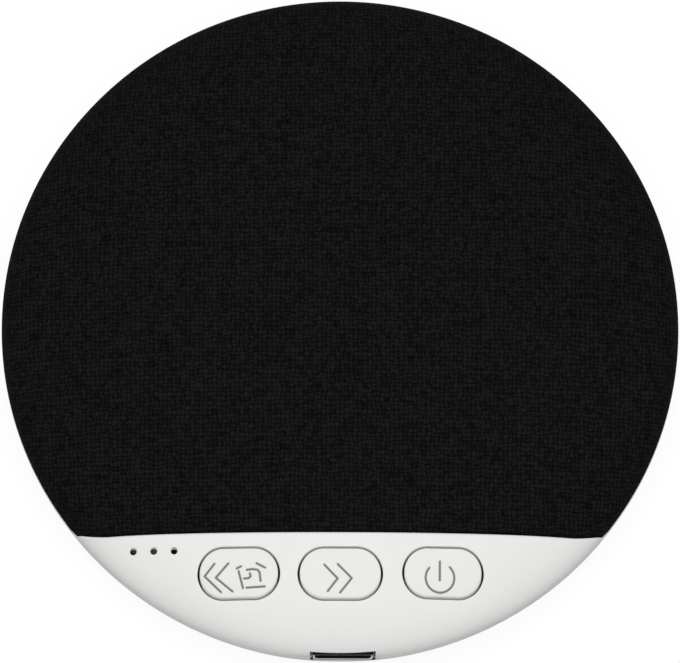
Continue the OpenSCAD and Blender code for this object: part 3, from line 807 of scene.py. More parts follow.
def blend_shades(tree: Tree, pattern: Socket, first: Any, second: str) -> Socket:
    """Blends from one colour to another by a pattern.

    Args:
        tree: Tree of the material.
        pattern: Share of the second colour.
        first: First colour, as a hex value or a socket.
        second: Second colour, as a hex value.

    Returns:
        The blended colour.
    """
    first = linear(first) if isinstance(first, str) else first
    shades = {"Factor": pattern, 6: first, 7: linear(second)}
    return add_node(tree, "ShaderNodeMix", shades, data_type="RGBA").outputs[2]


def spread_round(tree: Tree, pattern: Socket, value: float, spread: float, *ends: float) -> Socket:
    """Lets a value rise and fall with a pattern.

    Args:
        tree: Tree of the material.
        pattern: Pattern that it follows.
        value: Middle value.
        spread: Largest difference from it.
        ends: Values of the pattern at which the two limits are reached, 0 and 1 if left out.

    Returns:
        The uneven value.
    """
    low, high = ends or (0.0, 1.0)
    limits = {"From Min": low, "From Max": high, "To Min": value - spread, "To Max": value + spread}
    return add_node(tree, "ShaderNodeMapRange", {"Value": pattern, **limits}).outputs["Result"]


def close_material(
    tree: Tree, colour: Any, relief: Socket, depth: float, gloss: dict[str, Any], share: float = 1.0
) -> None:
    """Ends a material in its shader.

    Args:
        tree: Tree of the material.
        colour: Colour of the surface.
        relief: Height of its relief.
        depth: Depth of the relief in millimetres.
        gloss: Values of the shader's other inputs.
        share: Share of the relief that shows.
    """
    height = {"Height": relief, "Strength": share, "Distance": depth * MM}
    bump = add_node(tree, "ShaderNodeBump", height)
    inputs = {"Base Color": colour, "Normal": bump.outputs["Normal"], **gloss}
    end_material(tree, add_node(tree, "ShaderNodeBsdfPrincipled", inputs))


@dataclass(frozen=True)
class MouldedPlastic:
    """Injection-moulded plastic: an even colour under a fine spark-eroded grain.

    The grain's spacing is in millimetres, and drawn no finer than shows from near by.
    """

    name: str
    dark: str
    light: str
    roughness: float
    grain: float = 0.16
    grain_depth: float = 0.006
    ior: float = 1.53
    # Colour of painted shade, laid where a piece stores it: in the port slot and in the keys' cut
    # lines.
    painted_shade: str = "#1A1A1B"
    cloud: float = 9.0

    def build(self) -> Material:
        """Builds the material.

        Returns:
            The material.
        """
        material, tree = start_material(self.name)
        place = add_node(tree, "ShaderNodeTexCoord").outputs["Object"]
        wide = {"Vector": place, "Scale": 1 / (self.cloud * MM), "Detail": 3.0, "Roughness": 0.55}
        clouds = add_node(tree, "ShaderNodeTexNoise", wide).outputs["Fac"]
        fine = {"Vector": place, "Scale": 1 / (self.grain * MM), "Detail": 2.0, "Roughness": 0.6}
        grain = add_node(tree, "ShaderNodeTexNoise", fine).outputs["Fac"]
        # Painted shade, blended in where the piece stores it.
        mark = add_node(tree, "ShaderNodeAttribute", attribute_name="painted_shade").outputs["Fac"]
        plain = blend_shades(tree, clouds, self.dark, self.light)
        colour = blend_shades(tree, mark, plain, self.painted_shade)
        rough = spread_round(tree, clouds, self.roughness, 0.03, 0.3, 0.7)
        gloss = {"Roughness": rough, "IOR": self.ior}
        close_material(tree, colour, grain, self.grain_depth, gloss)
        return material


@dataclass(frozen=True)
class PlatedMetal:
    """Plated sheet or turned metal: bright, with faint lines from rolling or turning."""

    name: str
    dark: str
    light: str
    roughness: float
    line: float = 0.12
    stretch: tuple[float, float, float] = (1.0, 1.0, 12.0)
    # Colour of painted shade, laid where a piece stores it: inside the charging socket.
    painted_shade: str = "#0B0B0C"

    def build(self) -> Material:
        """Builds the material.

        Returns:
            The material.
        """
        material, tree = start_material(self.name)
        place = add_node(tree, "ShaderNodeTexCoord").outputs["Object"]
        drawn = add_node(tree, "ShaderNodeMapping", {"Vector": place, "Scale": self.stretch})
        # The lines are drawn six times as coarse as they are, so that they show.
        coarse = {"Vector": drawn.outputs[0], "Scale": 1 / (self.line * MM * 6), "Detail": 4.0}
        lines = add_node(tree, "ShaderNodeTexNoise", coarse).outputs["Fac"]
        # Painted shade, blended in where the piece stores it.
        mark = add_node(tree, "ShaderNodeAttribute", attribute_name="painted_shade").outputs["Fac"]
        plain = blend_shades(tree, lines, self.dark, self.light)
        colour = blend_shades(tree, mark, plain, self.painted_shade)
        rough = spread_round(tree, lines, self.roughness, 0.08)
        gloss = {"Metallic": 1.0, "Roughness": rough}
        close_material(tree, colour, lines, 0.004, gloss, 0.4)
        return material


@dataclass(frozen=True)
class WovenCloth:
    """Plain woven polyester with a linen look: uneven threads under and over each other.

    The pattern follows the cloth's own cut, so that threads run with the weave over the
    crown. The thread spacing is the one that shows in the photograph.
    """

    name: str = "plain woven polyester"
    dark: str = "#030303"
    light: str = "#1C1C1C"
    thread: float = 0.56
    waver: float = 0.9
    uneven: float = 0.5
    depth: float = 0.06

    def build(self) -> Material:
        """Builds the material.

        Returns:
            The material.
        """
        material, tree = start_material(self.name)
        cut = add_node(tree, "ShaderNodeUVMap", uv_map="cut").outputs["UV"]
        by_thread = {0: cut, 1: (1 / (self.thread * MM),) * 3}
        count = add_node(tree, "ShaderNodeVectorMath", by_thread, operation="MULTIPLY").outputs[0]
        wavered = self.wander(tree, count)
        turns = {0: wavered, 1: (math.pi,) * 3}
        turned = add_node(tree, "ShaderNodeVectorMath", turns, operation="MULTIPLY")
        waves = add_node(tree, "ShaderNodeVectorMath", {0: turned.outputs[0]}, operation="SINE")
        split = add_node(tree, "ShaderNodeSeparateXYZ", {0: waves.outputs[0]})
        both = {0: split.outputs["X"], 1: split.outputs["Y"]}
        over = add_node(tree, "ShaderNodeMath", both, operation="MULTIPLY").outputs[0]
        threads = {}
        for index, (axis, side) in enumerate((("X", 0.5), ("Y", -0.5))):
            along = {0: split.outputs[axis]}
            round_thread = add_node(tree, "ShaderNodeMath", along, operation="ABSOLUTE")
            rise = {0: over, 1: side, 2: 0.55}
            lift = add_node(tree, "ShaderNodeMath", rise, operation="MULTIPLY_ADD")
            lifted = {0: round_thread.outputs[0], 1: lift.outputs[0]}
            threads[index] = add_node(tree, "ShaderNodeMath", lifted, operation="MULTIPLY").outputs[0]
        weave = add_node(tree, "ShaderNodeMath", threads, operation="MAXIMUM").outputs[0]
        tone = self.slubs(tree, count, self.crossings(tree, wavered, weave))
        # The colour follows the weave's height: painted shade in its hollows and painted light on its
        # crossings, together with threads that are uneven at random.
        colour = blend_shades(tree, tone, self.dark, self.light)
        gloss = {"Roughness": 0.86, "Specular IOR Level": 0.03}
        close_material(tree, colour, tone, self.depth, gloss)
        return material

    def wander(self, tree: Tree, count: Socket) -> Socket:
        """Lets the threads wander from straight lines.

        Args:
            tree: Tree of the material.
            count: Position counted in threads.

        Returns:
            The position that the weave follows.
        """
        slow = {"Vector": count, "Scale": 0.45, "Detail": 2.0}
        drift = add_node(tree, "ShaderNodeTexNoise", slow)
        middle = {0: drift.outputs["Color"], 1: (0.5, 0.5, 0.5)}
        centred = add_node(tree, "ShaderNodeVectorMath", middle, operation="SUBTRACT")
        moved = {0: centred.outputs[0], 1: (self.waver * 2,) * 3, 2: count}
        return add_node(tree, "ShaderNodeVectorMath", moved, operation="MULTIPLY_ADD").outputs[0]

    def crossings(self, tree: Tree, count: Socket, weave: Socket) -> Socket:
        """Lets each crossing of two threads stand up or sink by its own share.

        Args:
            tree: Tree of the material.
            count: Position counted in threads.
            weave: Height of the plain weave.

        Returns:
            Height of the uneven weave.
        """
        crossing = add_node(tree, "ShaderNodeVectorMath", {0: count}, operation="FLOOR")
        share = add_node(tree, "ShaderNodeTexWhiteNoise", {"Vector": crossing.outputs[0]})
        spread = spread_round(tree, share.outputs["Value"], 1.0, self.uneven)
        uneven = {0: weave, 1: spread}
        return add_node(tree, "ShaderNodeMath", uneven, operation="MULTIPLY").outputs[0]

    def slubs(self, tree: Tree, count: Socket, weave: Socket) -> Socket:
        """Adds thick and thin stretches to the threads, which show most along the weft.

        Args:
            tree: Tree of the material.
            count: Position counted in threads.
            weave: Height of the plain weave.

        Returns:
            Height of the uneven weave, about 0 to 1.
        """
        tone = weave
        for scale, weight in (((0.3, 1.0, 1.0), 0.8), ((1.0, 0.35, 1.0), 0.45)):
            drawn = add_node(tree, "ShaderNodeMapping", {"Vector": count, "Scale": scale})
            long = {"Vector": drawn.outputs[0], "Scale": 1.0, "Detail": 3.0, "Roughness": 0.6}
            streaks = add_node(tree, "ShaderNodeTexNoise", long)
            middle = {0: streaks.outputs["Fac"], 1: 0.5}
            centred = add_node(tree, "ShaderNodeMath", middle, operation="SUBTRACT")
            added = {0: centred.outputs[0], 1: weight, 2: tone}
            tone = add_node(tree, "ShaderNodeMath", added, operation="MULTIPLY_ADD").outputs[0]
        return tone


@dataclass(frozen=True)
class SolderMask:
    """Green solder mask over glass cloth, with tracks that stand up under it."""

    name: str = "green solder mask"
    dark: str = "#123F28"
    light: str = "#1E6B40"
    track: float = 1.1

    def build(self) -> Material:
        """Builds the material.

        Returns:
            The material.
        """
        material, tree = start_material(self.name)
        place = add_node(tree, "ShaderNodeTexCoord").outputs["Object"]
        rows = {"Vector": place, "Scale": 1 / (self.track * MM * 4)}
        rows |= {"Mortar Size": 0.04, "Mortar Smooth": 0.3}
        tracks = add_node(tree, "ShaderNodeTexBrick", rows).outputs["Fac"]
        colour = blend_shades(tree, tracks, self.dark, self.light)
        close_material(tree, colour, tracks, 0.03, {"Roughness": 0.28})
        return material


@dataclass(frozen=True)
class SmokedAcrylic:
    """Moulded acrylic with a smoky tint, which looks nearly black while its lamp is off."""

    name: str = "smoked acrylic"
    tint: str = "#15171A"
    ripple: float = 1.5

    def build(self) -> Material:
        """Builds the material.

        Returns:
            The material.
        """
        material, tree = start_material(self.name)
        place = add_node(tree, "ShaderNodeTexCoord").outputs["Object"]
        wide = {"Vector": place, "Scale": 1 / (self.ripple * MM)}
        ripple = add_node(tree, "ShaderNodeTexNoise", wide).outputs["Fac"]
        gloss = {"Roughness": 0.12, "IOR": 1.49, "Transmission Weight": 0.9}
        close_material(tree, linear(self.tint), ripple, 0.01, gloss, 0.5)
        return material


# Finish of each slot of the record. Hidden pieces get the finish that they have on a bench.
FINISHES: dict[str, Any] = {
    # Textured mould: an even white that shades softly and hardly mirrors the lamp, with painted shade
    # on the port slot's walls.
    "shell_white": MouldedPlastic("white ABS", "#EEEEEC", "#F3F3F1", 0.6),
    # The same white, a little smoother from touch, with painted shade, grey, in the cut marks.
    "key_white": MouldedPlastic("white ABS keys", "#EEEEEC", "#F2F2F0", 0.58, painted_shade="#6C6C6A"),
    # Unpainted black moulding: dark grey with a broad dull highlight.
    "frame_black": MouldedPlastic("black ABS", "#1B1B1C", "#262628", 0.5),
    # Uneven threads: a near black that is broken up, with painted shade in the weave's hollows and no
    # highlight at all.
    "cloth_black": WovenCloth(),
    # Soft and dusty: dark grey without a sharp highlight.
    "rubber_grey": MouldedPlastic("silicone rubber", "#262627", "#303032", 0.7, 0.3, 0.02, 1.41),
    # Barrel plating: light grey with a bright, slightly spread highlight.
    "screw_steel": PlatedMetal("zinc plated steel", "#9A9CA0", "#C8CACD", 0.32),
    # Lacquer over copper: shiny green with tracks that stand up.
    "board_green": SolderMask(),
    # Glass-filled moulding: black with a soft shine.
    "switch_black": MouldedPlastic("black nylon", "#161617", "#212123", 0.45),
    # Rolled sheet, plated: bright at its lip, with painted shade, black, inside where the slot shades
    # it.
    "socket_steel": PlatedMetal("nickel plated sheet", "#A9ABAE", "#C9CBCD", 0.18),
    # Thin gold on springs: warm and bright.
    "contact_gold": PlatedMetal("gold flash", "#B8862F", "#E2B85A", 0.25),
    # Cast lens: pale yellow and glossy.
    "lamp_yellow": MouldedPlastic("lamp lens epoxy", "#E9DE9A", "#F6EDB8", 0.2, 0.4),
    # Polished mould: the pinholes show a dark gleam.
    "guide_clear": SmokedAcrylic(),
    # Moulded and laser marked: flat dark grey.
    "chip_black": MouldedPlastic("chip epoxy", "#1C1E20", "#292B2E", 0.6, 0.12),
    # Drawn lid: pale silver with a broad shine.
    "crystal_can": PlatedMetal("crystal lid", "#B2B4B8", "#D2D4D7", 0.35),
    # Pressed and fired: rough brownish grey.
    "coil_ferrite": MouldedPlastic("sintered ferrite", "#3E3B38", "#4E4A47", 0.65, 0.2, 0.02),
    # Fired and tumbled: even tan with rounded light.
    "capacitor_tan": MouldedPlastic("capacitor ceramic", "#A98C66", "#C0A47C", 0.5),
    # Pressed pouch: silver with wrinkles across it.
    "cell_foil": PlatedMetal("laminated foil", "#B4B8BE", "#D3D7DC", 0.38, 0.5, (1.0, 4.0, 1.0)),
    # Skived foam: its cut cells swallow the light.
    "foam_grey": MouldedPlastic("closed cell foam", "#2A2A2C", "#434346", 0.95, 0.25, 0.12, 1.3),
    # Natural moulding: warm white with a soft shine.
    "plug_ivory": MouldedPlastic("ivory nylon", "#E6E0D0", "#F2EEE2", 0.4),
    # Extruded sleeves: even colour with a line of light along them.
    "lead_red": MouldedPlastic("red PVC", "#9A1B17", "#B02520", 0.38),
    "lead_black": MouldedPlastic("black PVC", "#141415", "#1F1F20", 0.38),
    # Stamped and blackened: dark with a metal sheen.
    "basket_steel": PlatedMetal("blackened steel", "#33353A", "#484B50", 0.45),
    # Drawn cup: middle grey with faint drawing lines.
    "cup_zinc": PlatedMetal("zinc plated cup", "#7C7E83", "#9DA0A5", 0.36),
    # Plated sinter: bright and nearly a mirror.
    "magnet_nickel": PlatedMetal("nickel plated magnet", "#9B9DA2", "#B9BBC0", 0.18),
    # Pressed paper and resin: speckled brown, half matt.
    "terminal_phenolic": MouldedPlastic("phenolic board", "#A56B30", "#C2854A", 0.55, 0.5, 0.02),
    # Pressed rubber: black with a soft broad light on its roll.
    "surround_rubber": MouldedPlastic("butyl rubber", "#161617", "#222223", 0.6, 0.3, 0.01, 1.5),
    # Felted fibre: dark grey, dry and uneven.
    "cone_paper": MouldedPlastic("coated paper", "#232427", "#34363A", 0.8, 0.35, 0.05, 1.45),
    # Wound wire: copper with fine rings of light.
    "coil_copper": PlatedMetal("enamelled copper", "#8E4719", "#C4763A", 0.3, 0.2, (1.0, 1.0, 30.0)),
}


@cache
def finish_for(slot: str) -> Material:
    """Gives the material of a slot, and builds it once."""
    return FINISHES[slot].build()


def dress(piece: Piece, slot: str) -> None:
    """Gives a piece the finish of a slot."""
    piece.data.materials.clear()
    piece.data.materials.append(finish_for(slot))


def hand_over(piece: Piece, slot: str, body: str, *nodes: str) -> None:
    """Dresses a finished piece and sets it on its body in place of its solids.

    Args:
        piece: The piece, in place.
        slot: Slot of the record that gives its finish.
        body: Body that it moves with.
        nodes: Nodes that it stands for.
    """
    dress(piece, slot)
    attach(piece, body)
    if nodes:
        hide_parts(*nodes)
    faces = len(piece.data.polygons)
    LOG.info("%s: %d faces, %s, on %s", piece.name, faces, slot, body)


def bake_modifiers(piece: Piece) -> None:
    """Turns a piece with its modifiers into a plain mesh.

    Args:
        piece: The piece.
    """
    graph = bpy.context.evaluated_depsgraph_get()
    mesh = bpy.data.meshes.new_from_object(piece.evaluated_get(graph), depsgraph=graph)
    piece.modifiers.clear()
    piece.data = mesh


def add_tree_modifier(piece: Piece, tree: Tree, values: dict[str, Any]) -> None:
    """Adds a Geometry Nodes modifier and sets its inputs by their identifiers.

    Args:
        piece: Piece that gets it.
        tree: The tree.
        values: Value of each input by its name.
    """
    modifier = piece.modifiers.new(tree.name, "NODES")
    modifier.node_group = tree
    for item in tree.interface.items_tree:
        if item.name in values:
            modifier[item.identifier] = values[item.name]


def start_tree(name: str, inputs: Sequence[tuple[str, str]]) -> tuple[Tree, Node]:
    """Starts a Geometry Nodes tree with named inputs.

    Args:
        name: Name of the tree.
        inputs: Name and socket type of each input after the geometry.

    Returns:
        The tree and its input node.
    """
    tree = bpy.data.node_groups.new(name, "GeometryNodeTree")
    tree.interface.new_socket("Geometry", in_out="INPUT", socket_type="NodeSocketGeometry")
    tree.interface.new_socket("Geometry", in_out="OUTPUT", socket_type="NodeSocketGeometry")
    for label, kind in inputs:
        tree.interface.new_socket(label, in_out="INPUT", socket_type=kind)
    return tree, tree.nodes.new("NodeGroupInput")


def end_tree(tree: Tree, given: Node, geometry: Socket) -> None:
    """Ends a tree in real geometry with its material.

    Args:
        tree: The tree.
        given: Its input node.
        geometry: What it has made.
    """
    real = add_node(tree, "GeometryNodeRealizeInstances", {"Geometry": geometry})
    finish = {"Geometry": real.outputs[0], "Material": given.outputs["Finish"]}
    dressed = add_node(tree, "GeometryNodeSetMaterial", finish)
    add_node(tree, "NodeGroupOutput", {"Geometry": dressed.outputs[0]})


@dataclass
class ClothCover:
    """Cloth that is stretched over the grille, turned in at the rim and tucked down in front."""

    form: CaseForm
    thickness: float = 0.42
    fold_r: float = 0.55
    tuck: float = 2.0
    hem_r: float = 0.35
    hem: float = 0.8
    pitch: float = 0.95
    inner_line: float = 0.4
    margin: float = 0.8
    slub_height: float = 0.03
    slub_width: float = 2.4
    seed: int = 7

    def cut(self) -> tuple[Piece, float]:
        """Cuts the flat cloth, with what each point needs to find its place on the crown.

        Returns:
            The flat cloth and its area in square metres.
        """
        form, surface = self.form, self.form.crown
        rim = surface.edge.rim_run - self.hem_r
        edge = surface.pattern(form.front_edge(-self.fold_r, step=0.4))
        circle = ring_line((0, 0), rim, step=0.9)
        pattern = Pattern()
        pattern.add_line(edge)
        inner = form.front_edge(-self.fold_r - self.inner_line, step=0.4)
        pattern.add_line(surface.pattern(inner), border=False)
        pattern.add_line(circle, closed=True)
        pattern.add_line(circle * ((rim - self.inner_line) / rim), closed=True, border=False)

        def on_cloth(points: Array, margin: float = 0.0) -> Array:
            """Tells which pattern points lie on the cloth that shows."""
            ahead = form.ahead_of_cloth(surface.plan(points))
            return (lengths(points) < rim - margin) & (ahead < -self.fold_r - margin)

        grid = hex_grid((-rim, -rim), (rim, rim), self.pitch)
        pattern.add_points(grid[on_cloth(grid, self.margin)])
        flat, triangles = pattern.join(on_cloth)
        (loop,) = edge_loops(triangles)
        return self.allow_for_turns(flat, triangles, loop, rim)

    def allow_for_turns(
        self, flat: Array, triangles: Array, loop: Array, rim: float
    ) -> tuple[Piece, float]:
        """Adds the allowances that are tucked down in front and turned in at the rim.

        Args:
            flat: Points of the cloth that shows, on its flat cut.
            triangles: Triangles between them.
            loop: Points along its edge.
            rim: Run at which the cloth starts to turn in.

        Returns:
            The flat cloth and its area in square metres.
        """
        surface = self.form.crown
        plan = surface.plan(flat)
        angle = surface.edge.at_run(lengths(flat))[2]
        at_rim = (lengths(flat[loop]) > rim - ON_EDGE)[:, None]
        in_front = np.abs(self.form.ahead_of_cloth(plan[loop]) + self.fold_r)[:, None] < ON_EDGE
        along, normal = surface.slopes(flat[loop])
        bearing = level(unit_rows(plan[loop]))
        ahead = -self.form.towards_cloth(plan[loop])
        over, down = turn_at_wall(normal, ahead)
        turn = EdgeTurn(
            over=at_rim * along + in_front * over,
            down=unit_rows(in_front * down - at_rim * bearing),
            fillet=np.where(at_rim[:, 0], self.hem_r, self.fold_r),
            depth=np.where(at_rim[:, 0], self.hem, self.tuck),
        )
        away = unit_rows(at_rim * bearing[:, :2] + in_front * ahead)
        edge = surface.place(flat)[loop]
        sheet = MeshPlan()
        sheet.add(level(flat))
        sheet.triangles(triangles)
        # Each row holds plan, angle, drop and cut.
        rows, last = [np.column_stack([plan, angle, np.zeros(len(flat)), flat])], loop
        for length, places in turn.rows(edge, steps=5):
            cut = flat[loop] + away * length
            drop = edge[:, 2] - places[:, 2]
            rows.append(np.column_stack([places[:, :2], angle[loop], drop, cut]))
            before, last = last, sheet.add(level(cut))
            sheet.strip(before, last)
        cloth = sheet.make("cloth", sharp=180.0)
        table = np.vstack(rows)
        layer = cloth.data.uv_layers.new(name="cut")
        corner = np.empty(len(cloth.data.loops), np.int32)
        cloth.data.loops.foreach_get("vertex_index", corner)
        layer.data.foreach_set("uv", (table[corner, 4:] * MM).astype(np.float32).ravel())
        store(cloth, "seen_from_above", level(table[:, :2] * MM))
        store(cloth, "crown_angle", table[:, 2])
        store(cloth, "turned_down", table[:, 3] * MM)
        return cloth, sum(face.area for face in cloth.data.polygons)

    def stretch_tree(self) -> Tree:
        """Builds the tree that stretches the flat cloth over the crown.

        Returns:
            The tree. Its rule is the superellipse that the casing's rounded edge follows.
        """
        numbers = ("Crown Height", "Edge Squareness", "Parting Height", "Slub Height", "Slub Width")
        inputs = [(name, "NodeSocketFloat") for name in numbers]
        inputs += [("Seed", "NodeSocketInt"), ("Finish", "NodeSocketMaterial")]
        tree, given = start_tree("Stretch Cloth Over Crown", inputs)
        size = given.outputs
        named = "GeometryNodeInputNamedAttribute"
        angle = add_node(tree, named, {"Name": "crown_angle"}).outputs[0]
        down = add_node(tree, named, {"Name": "turned_down"}).outputs[0]
        above = {"Name": "seen_from_above"}
        plan = add_node(tree, named, above, data_type="FLOAT_VECTOR").outputs[0]
        twice = {0: 2.0, 1: size["Edge Squareness"]}
        power = add_node(tree, "ShaderNodeMath", twice, operation="DIVIDE").outputs[0]
        cosine = add_node(tree, "ShaderNodeMath", {0: angle}, operation="COSINE").outputs[0]
        base = {0: cosine, 1: power}
        share = add_node(tree, "ShaderNodeMath", base, operation="POWER").outputs[0]
        rise = {0: share, 1: size["Crown Height"], 2: size["Parting Height"]}
        crown = add_node(tree, "ShaderNodeMath", rise, operation="MULTIPLY_ADD").outputs[0]
        one = {0: 1.0, 1: size["Slub Width"]}
        fineness = add_node(tree, "ShaderNodeMath", one, operation="DIVIDE").outputs[0]
        soft = {"Vector": plan, "W": size["Seed"], "Scale": fineness, "Detail": 1.0}
        slubs = add_node(tree, "ShaderNodeTexNoise", soft, noise_dimensions="4D").outputs[0]
        less = {0: slubs, 1: 1.0}
        lowered = add_node(tree, "ShaderNodeMath", less, operation="SUBTRACT").outputs[0]
        dip = {0: lowered, 1: size["Slub Height"], 2: crown}
        sunk = add_node(tree, "ShaderNodeMath", dip, operation="MULTIPLY_ADD").outputs[0]
        drop = {0: sunk, 1: down}
        height = add_node(tree, "ShaderNodeMath", drop, operation="SUBTRACT").outputs[0]
        split = add_node(tree, "ShaderNodeSeparateXYZ", {0: plan}).outputs
        parts = {"X": split["X"], "Y": split["Y"], "Z": height}
        place = add_node(tree, "ShaderNodeCombineXYZ", parts).outputs[0]
        stretched = {"Geometry": size["Geometry"], "Position": place}
        moved = add_node(tree, "GeometryNodeSetPosition", stretched)
        end_tree(tree, given, moved.outputs[0])
        return tree

    def build(self) -> None:
        """Builds the cloth cover."""
        cloth, area = self.cut()
        values = {
            "Crown Height": (self.form.top_z - self.form.parting_z) * MM,
            "Edge Squareness": self.form.squareness,
            "Parting Height": self.form.parting_z * MM,
            "Slub Height": self.slub_height * MM,
            "Slub Width": self.slub_width * MM,
            "Seed": self.seed,
            "Finish": finish_for("cloth_black"),
        }
        add_tree_modifier(cloth, self.stretch_tree(), values)
        wall = cloth.modifiers.new("thickness", "SOLIDIFY")
        wall.thickness = self.thickness * MM
        wall.offset = -1.0
        bake_modifiers(cloth)
        hand_over(cloth, "cloth_black", "housing", "cloth_cover")


@dataclass(frozen=True)
class KeyPlace:
    """Place and size of one key, read from its node."""

    node: str
    body: str
    x: float
    y: float
    length: float
    width: float
    bottom_z: float
    ear: ClassVar[float] = 0.6

    @classmethod
    def from_frame(cls, mark: "KeyMark") -> "KeyPlace":
        """Reads a key's place, less the ears that hold it, and trims it as it is seen.

        Args:
            mark: Mark of the key.

        Returns:
            The place.
        """
        low, high = box_mm(mark.value)
        aside, back, longer, wider = mark.trim
        return cls(
            node=mark.value,
            body=mark.value.replace("_key", "_button"),
            x=(low[0] + high[0]) / 2 + aside,
            y=(low[1] + high[1]) / 2 + back,
            length=high[0] - low[0] - 2 * cls.ear + longer,
            width=high[1] - low[1] + wider,
            bottom_z=low[2],
        )


@dataclass(frozen=True)
class PortSlot:
    """Slot of the charging port, with its lower corners cut off."""

    x: float
    middle_z: float
    height: float
    width: float = 8.0
    bevel: float = 0.35
    fillet: float = 0.08
    step: float = 0.2
    # Share of the painted shade that the slot's ledge gets.
    ledge: float = 0.42
    gap_over: ClassVar[float] = 0.1
    gap_under: ClassVar[float] = 0.5

    @classmethod
    def from_frame(cls) -> "PortSlot":
        """Reads the slot's place from the socket behind it."""
        (left, _, low), (right, _, high) = box_mm("usb_shell")
        top, bottom = high + cls.gap_over, low - cls.gap_under
        return cls((left + right) / 2, (top + bottom) / 2, top - bottom)

    def outline(self, grow: float) -> Array:
        """Gives the slot's corners as X and Z, moved outwards by a distance.

        Args:
            grow: The distance.

        Returns:
            The corners, the way round seen from the front.
        """
        half, up = self.width / 2 + grow, self.height / 2 + grow
        cut = self.bevel + grow * (2 - math.sqrt(2))
        left = [(-half, up), (-half, cut - up), (cut - half, -up)]
        right = [(half - cut, -up), (half, cut - up)]
        return np.array([(half, up), *left, *right]) + (self.x, self.middle_z)

    def inside(self, points: Array, grow: float) -> Array:
        """Tells which points on the casing lie in the slot.

        Args:
            points: Places on the casing.
            grow: Growth of the slot.

        Returns:
            The truth for each point.
        """
        corners = self.outline(grow)
        ways = np.roll(corners, -1, axis=0) - corners
        offset = points[:, None, [0, 2]] - corners
        turns = ways[:, 0] * offset[..., 1] - ways[:, 1] * offset[..., 0]
        return (points[:, 1] < 0) & (turns > 0).all(axis=1)

    def side(self, points: Array, grow: float) -> tuple[Array, Array]:
        """Gives the distance of points from the slot's nearest side, and the way in from it.

        Args:
            points: Places on the casing.
            grow: Growth of the slot.

        Returns:
            The distances and unit directions.
        """
        corners = self.outline(grow)
        flat = points[:, [0, 2]]
        best = np.full(len(points), np.inf)
        inwards = np.zeros((len(points), 3))
        for start, way in zip(corners, np.roll(corners, -1, axis=0) - corners):
            along = way / np.linalg.norm(way)
            span = np.clip((flat - start) @ along, 0, np.linalg.norm(way))
            gap = lengths(flat - start - span[:, None] * along)
            nearer = gap < best - 1e-6
            best = np.where(nearer, gap, best)
            inwards[nearer] = (-along[1], 0.0, along[0])
        best[points[:, 1] > 0] = np.inf
        return best, inwards

    def shade(self, piece: Piece) -> None:
        """Paints shade on the slot's walls, which lie in the dark, and a share of it on its ledge."""
        points = np.array([v.co for v in piece.data.vertices]) / MM
        gap, inwards = self.side(points, 0.0)
        store(piece, "painted_shade", (gap < ON_EDGE) * np.where(inwards[:, 2] > 0.9, self.ledge, 1.0))

    def lines(self, surface: Surface, grow: float) -> Array:
        """Gives the slot's outline on one face of the casing as pattern points.

        Args:
            surface: The face.
            grow: Growth of the slot.

        Returns:
            The line from one end at the parting plane to the other.
        """
        corners = self.outline(grow)
        line = dense_line(np.vstack([corners, corners[:1]]), self.step)
        height = (line[:, 1] - surface.parting_z) * surface.facing
        start = int(np.argmin(height))
        line, height = np.roll(line[:-1], -start, axis=0), np.roll(height[:-1], -start)
        line = line[height > -0.3]
        return surface.band(line[:, 1], line[:, 0])


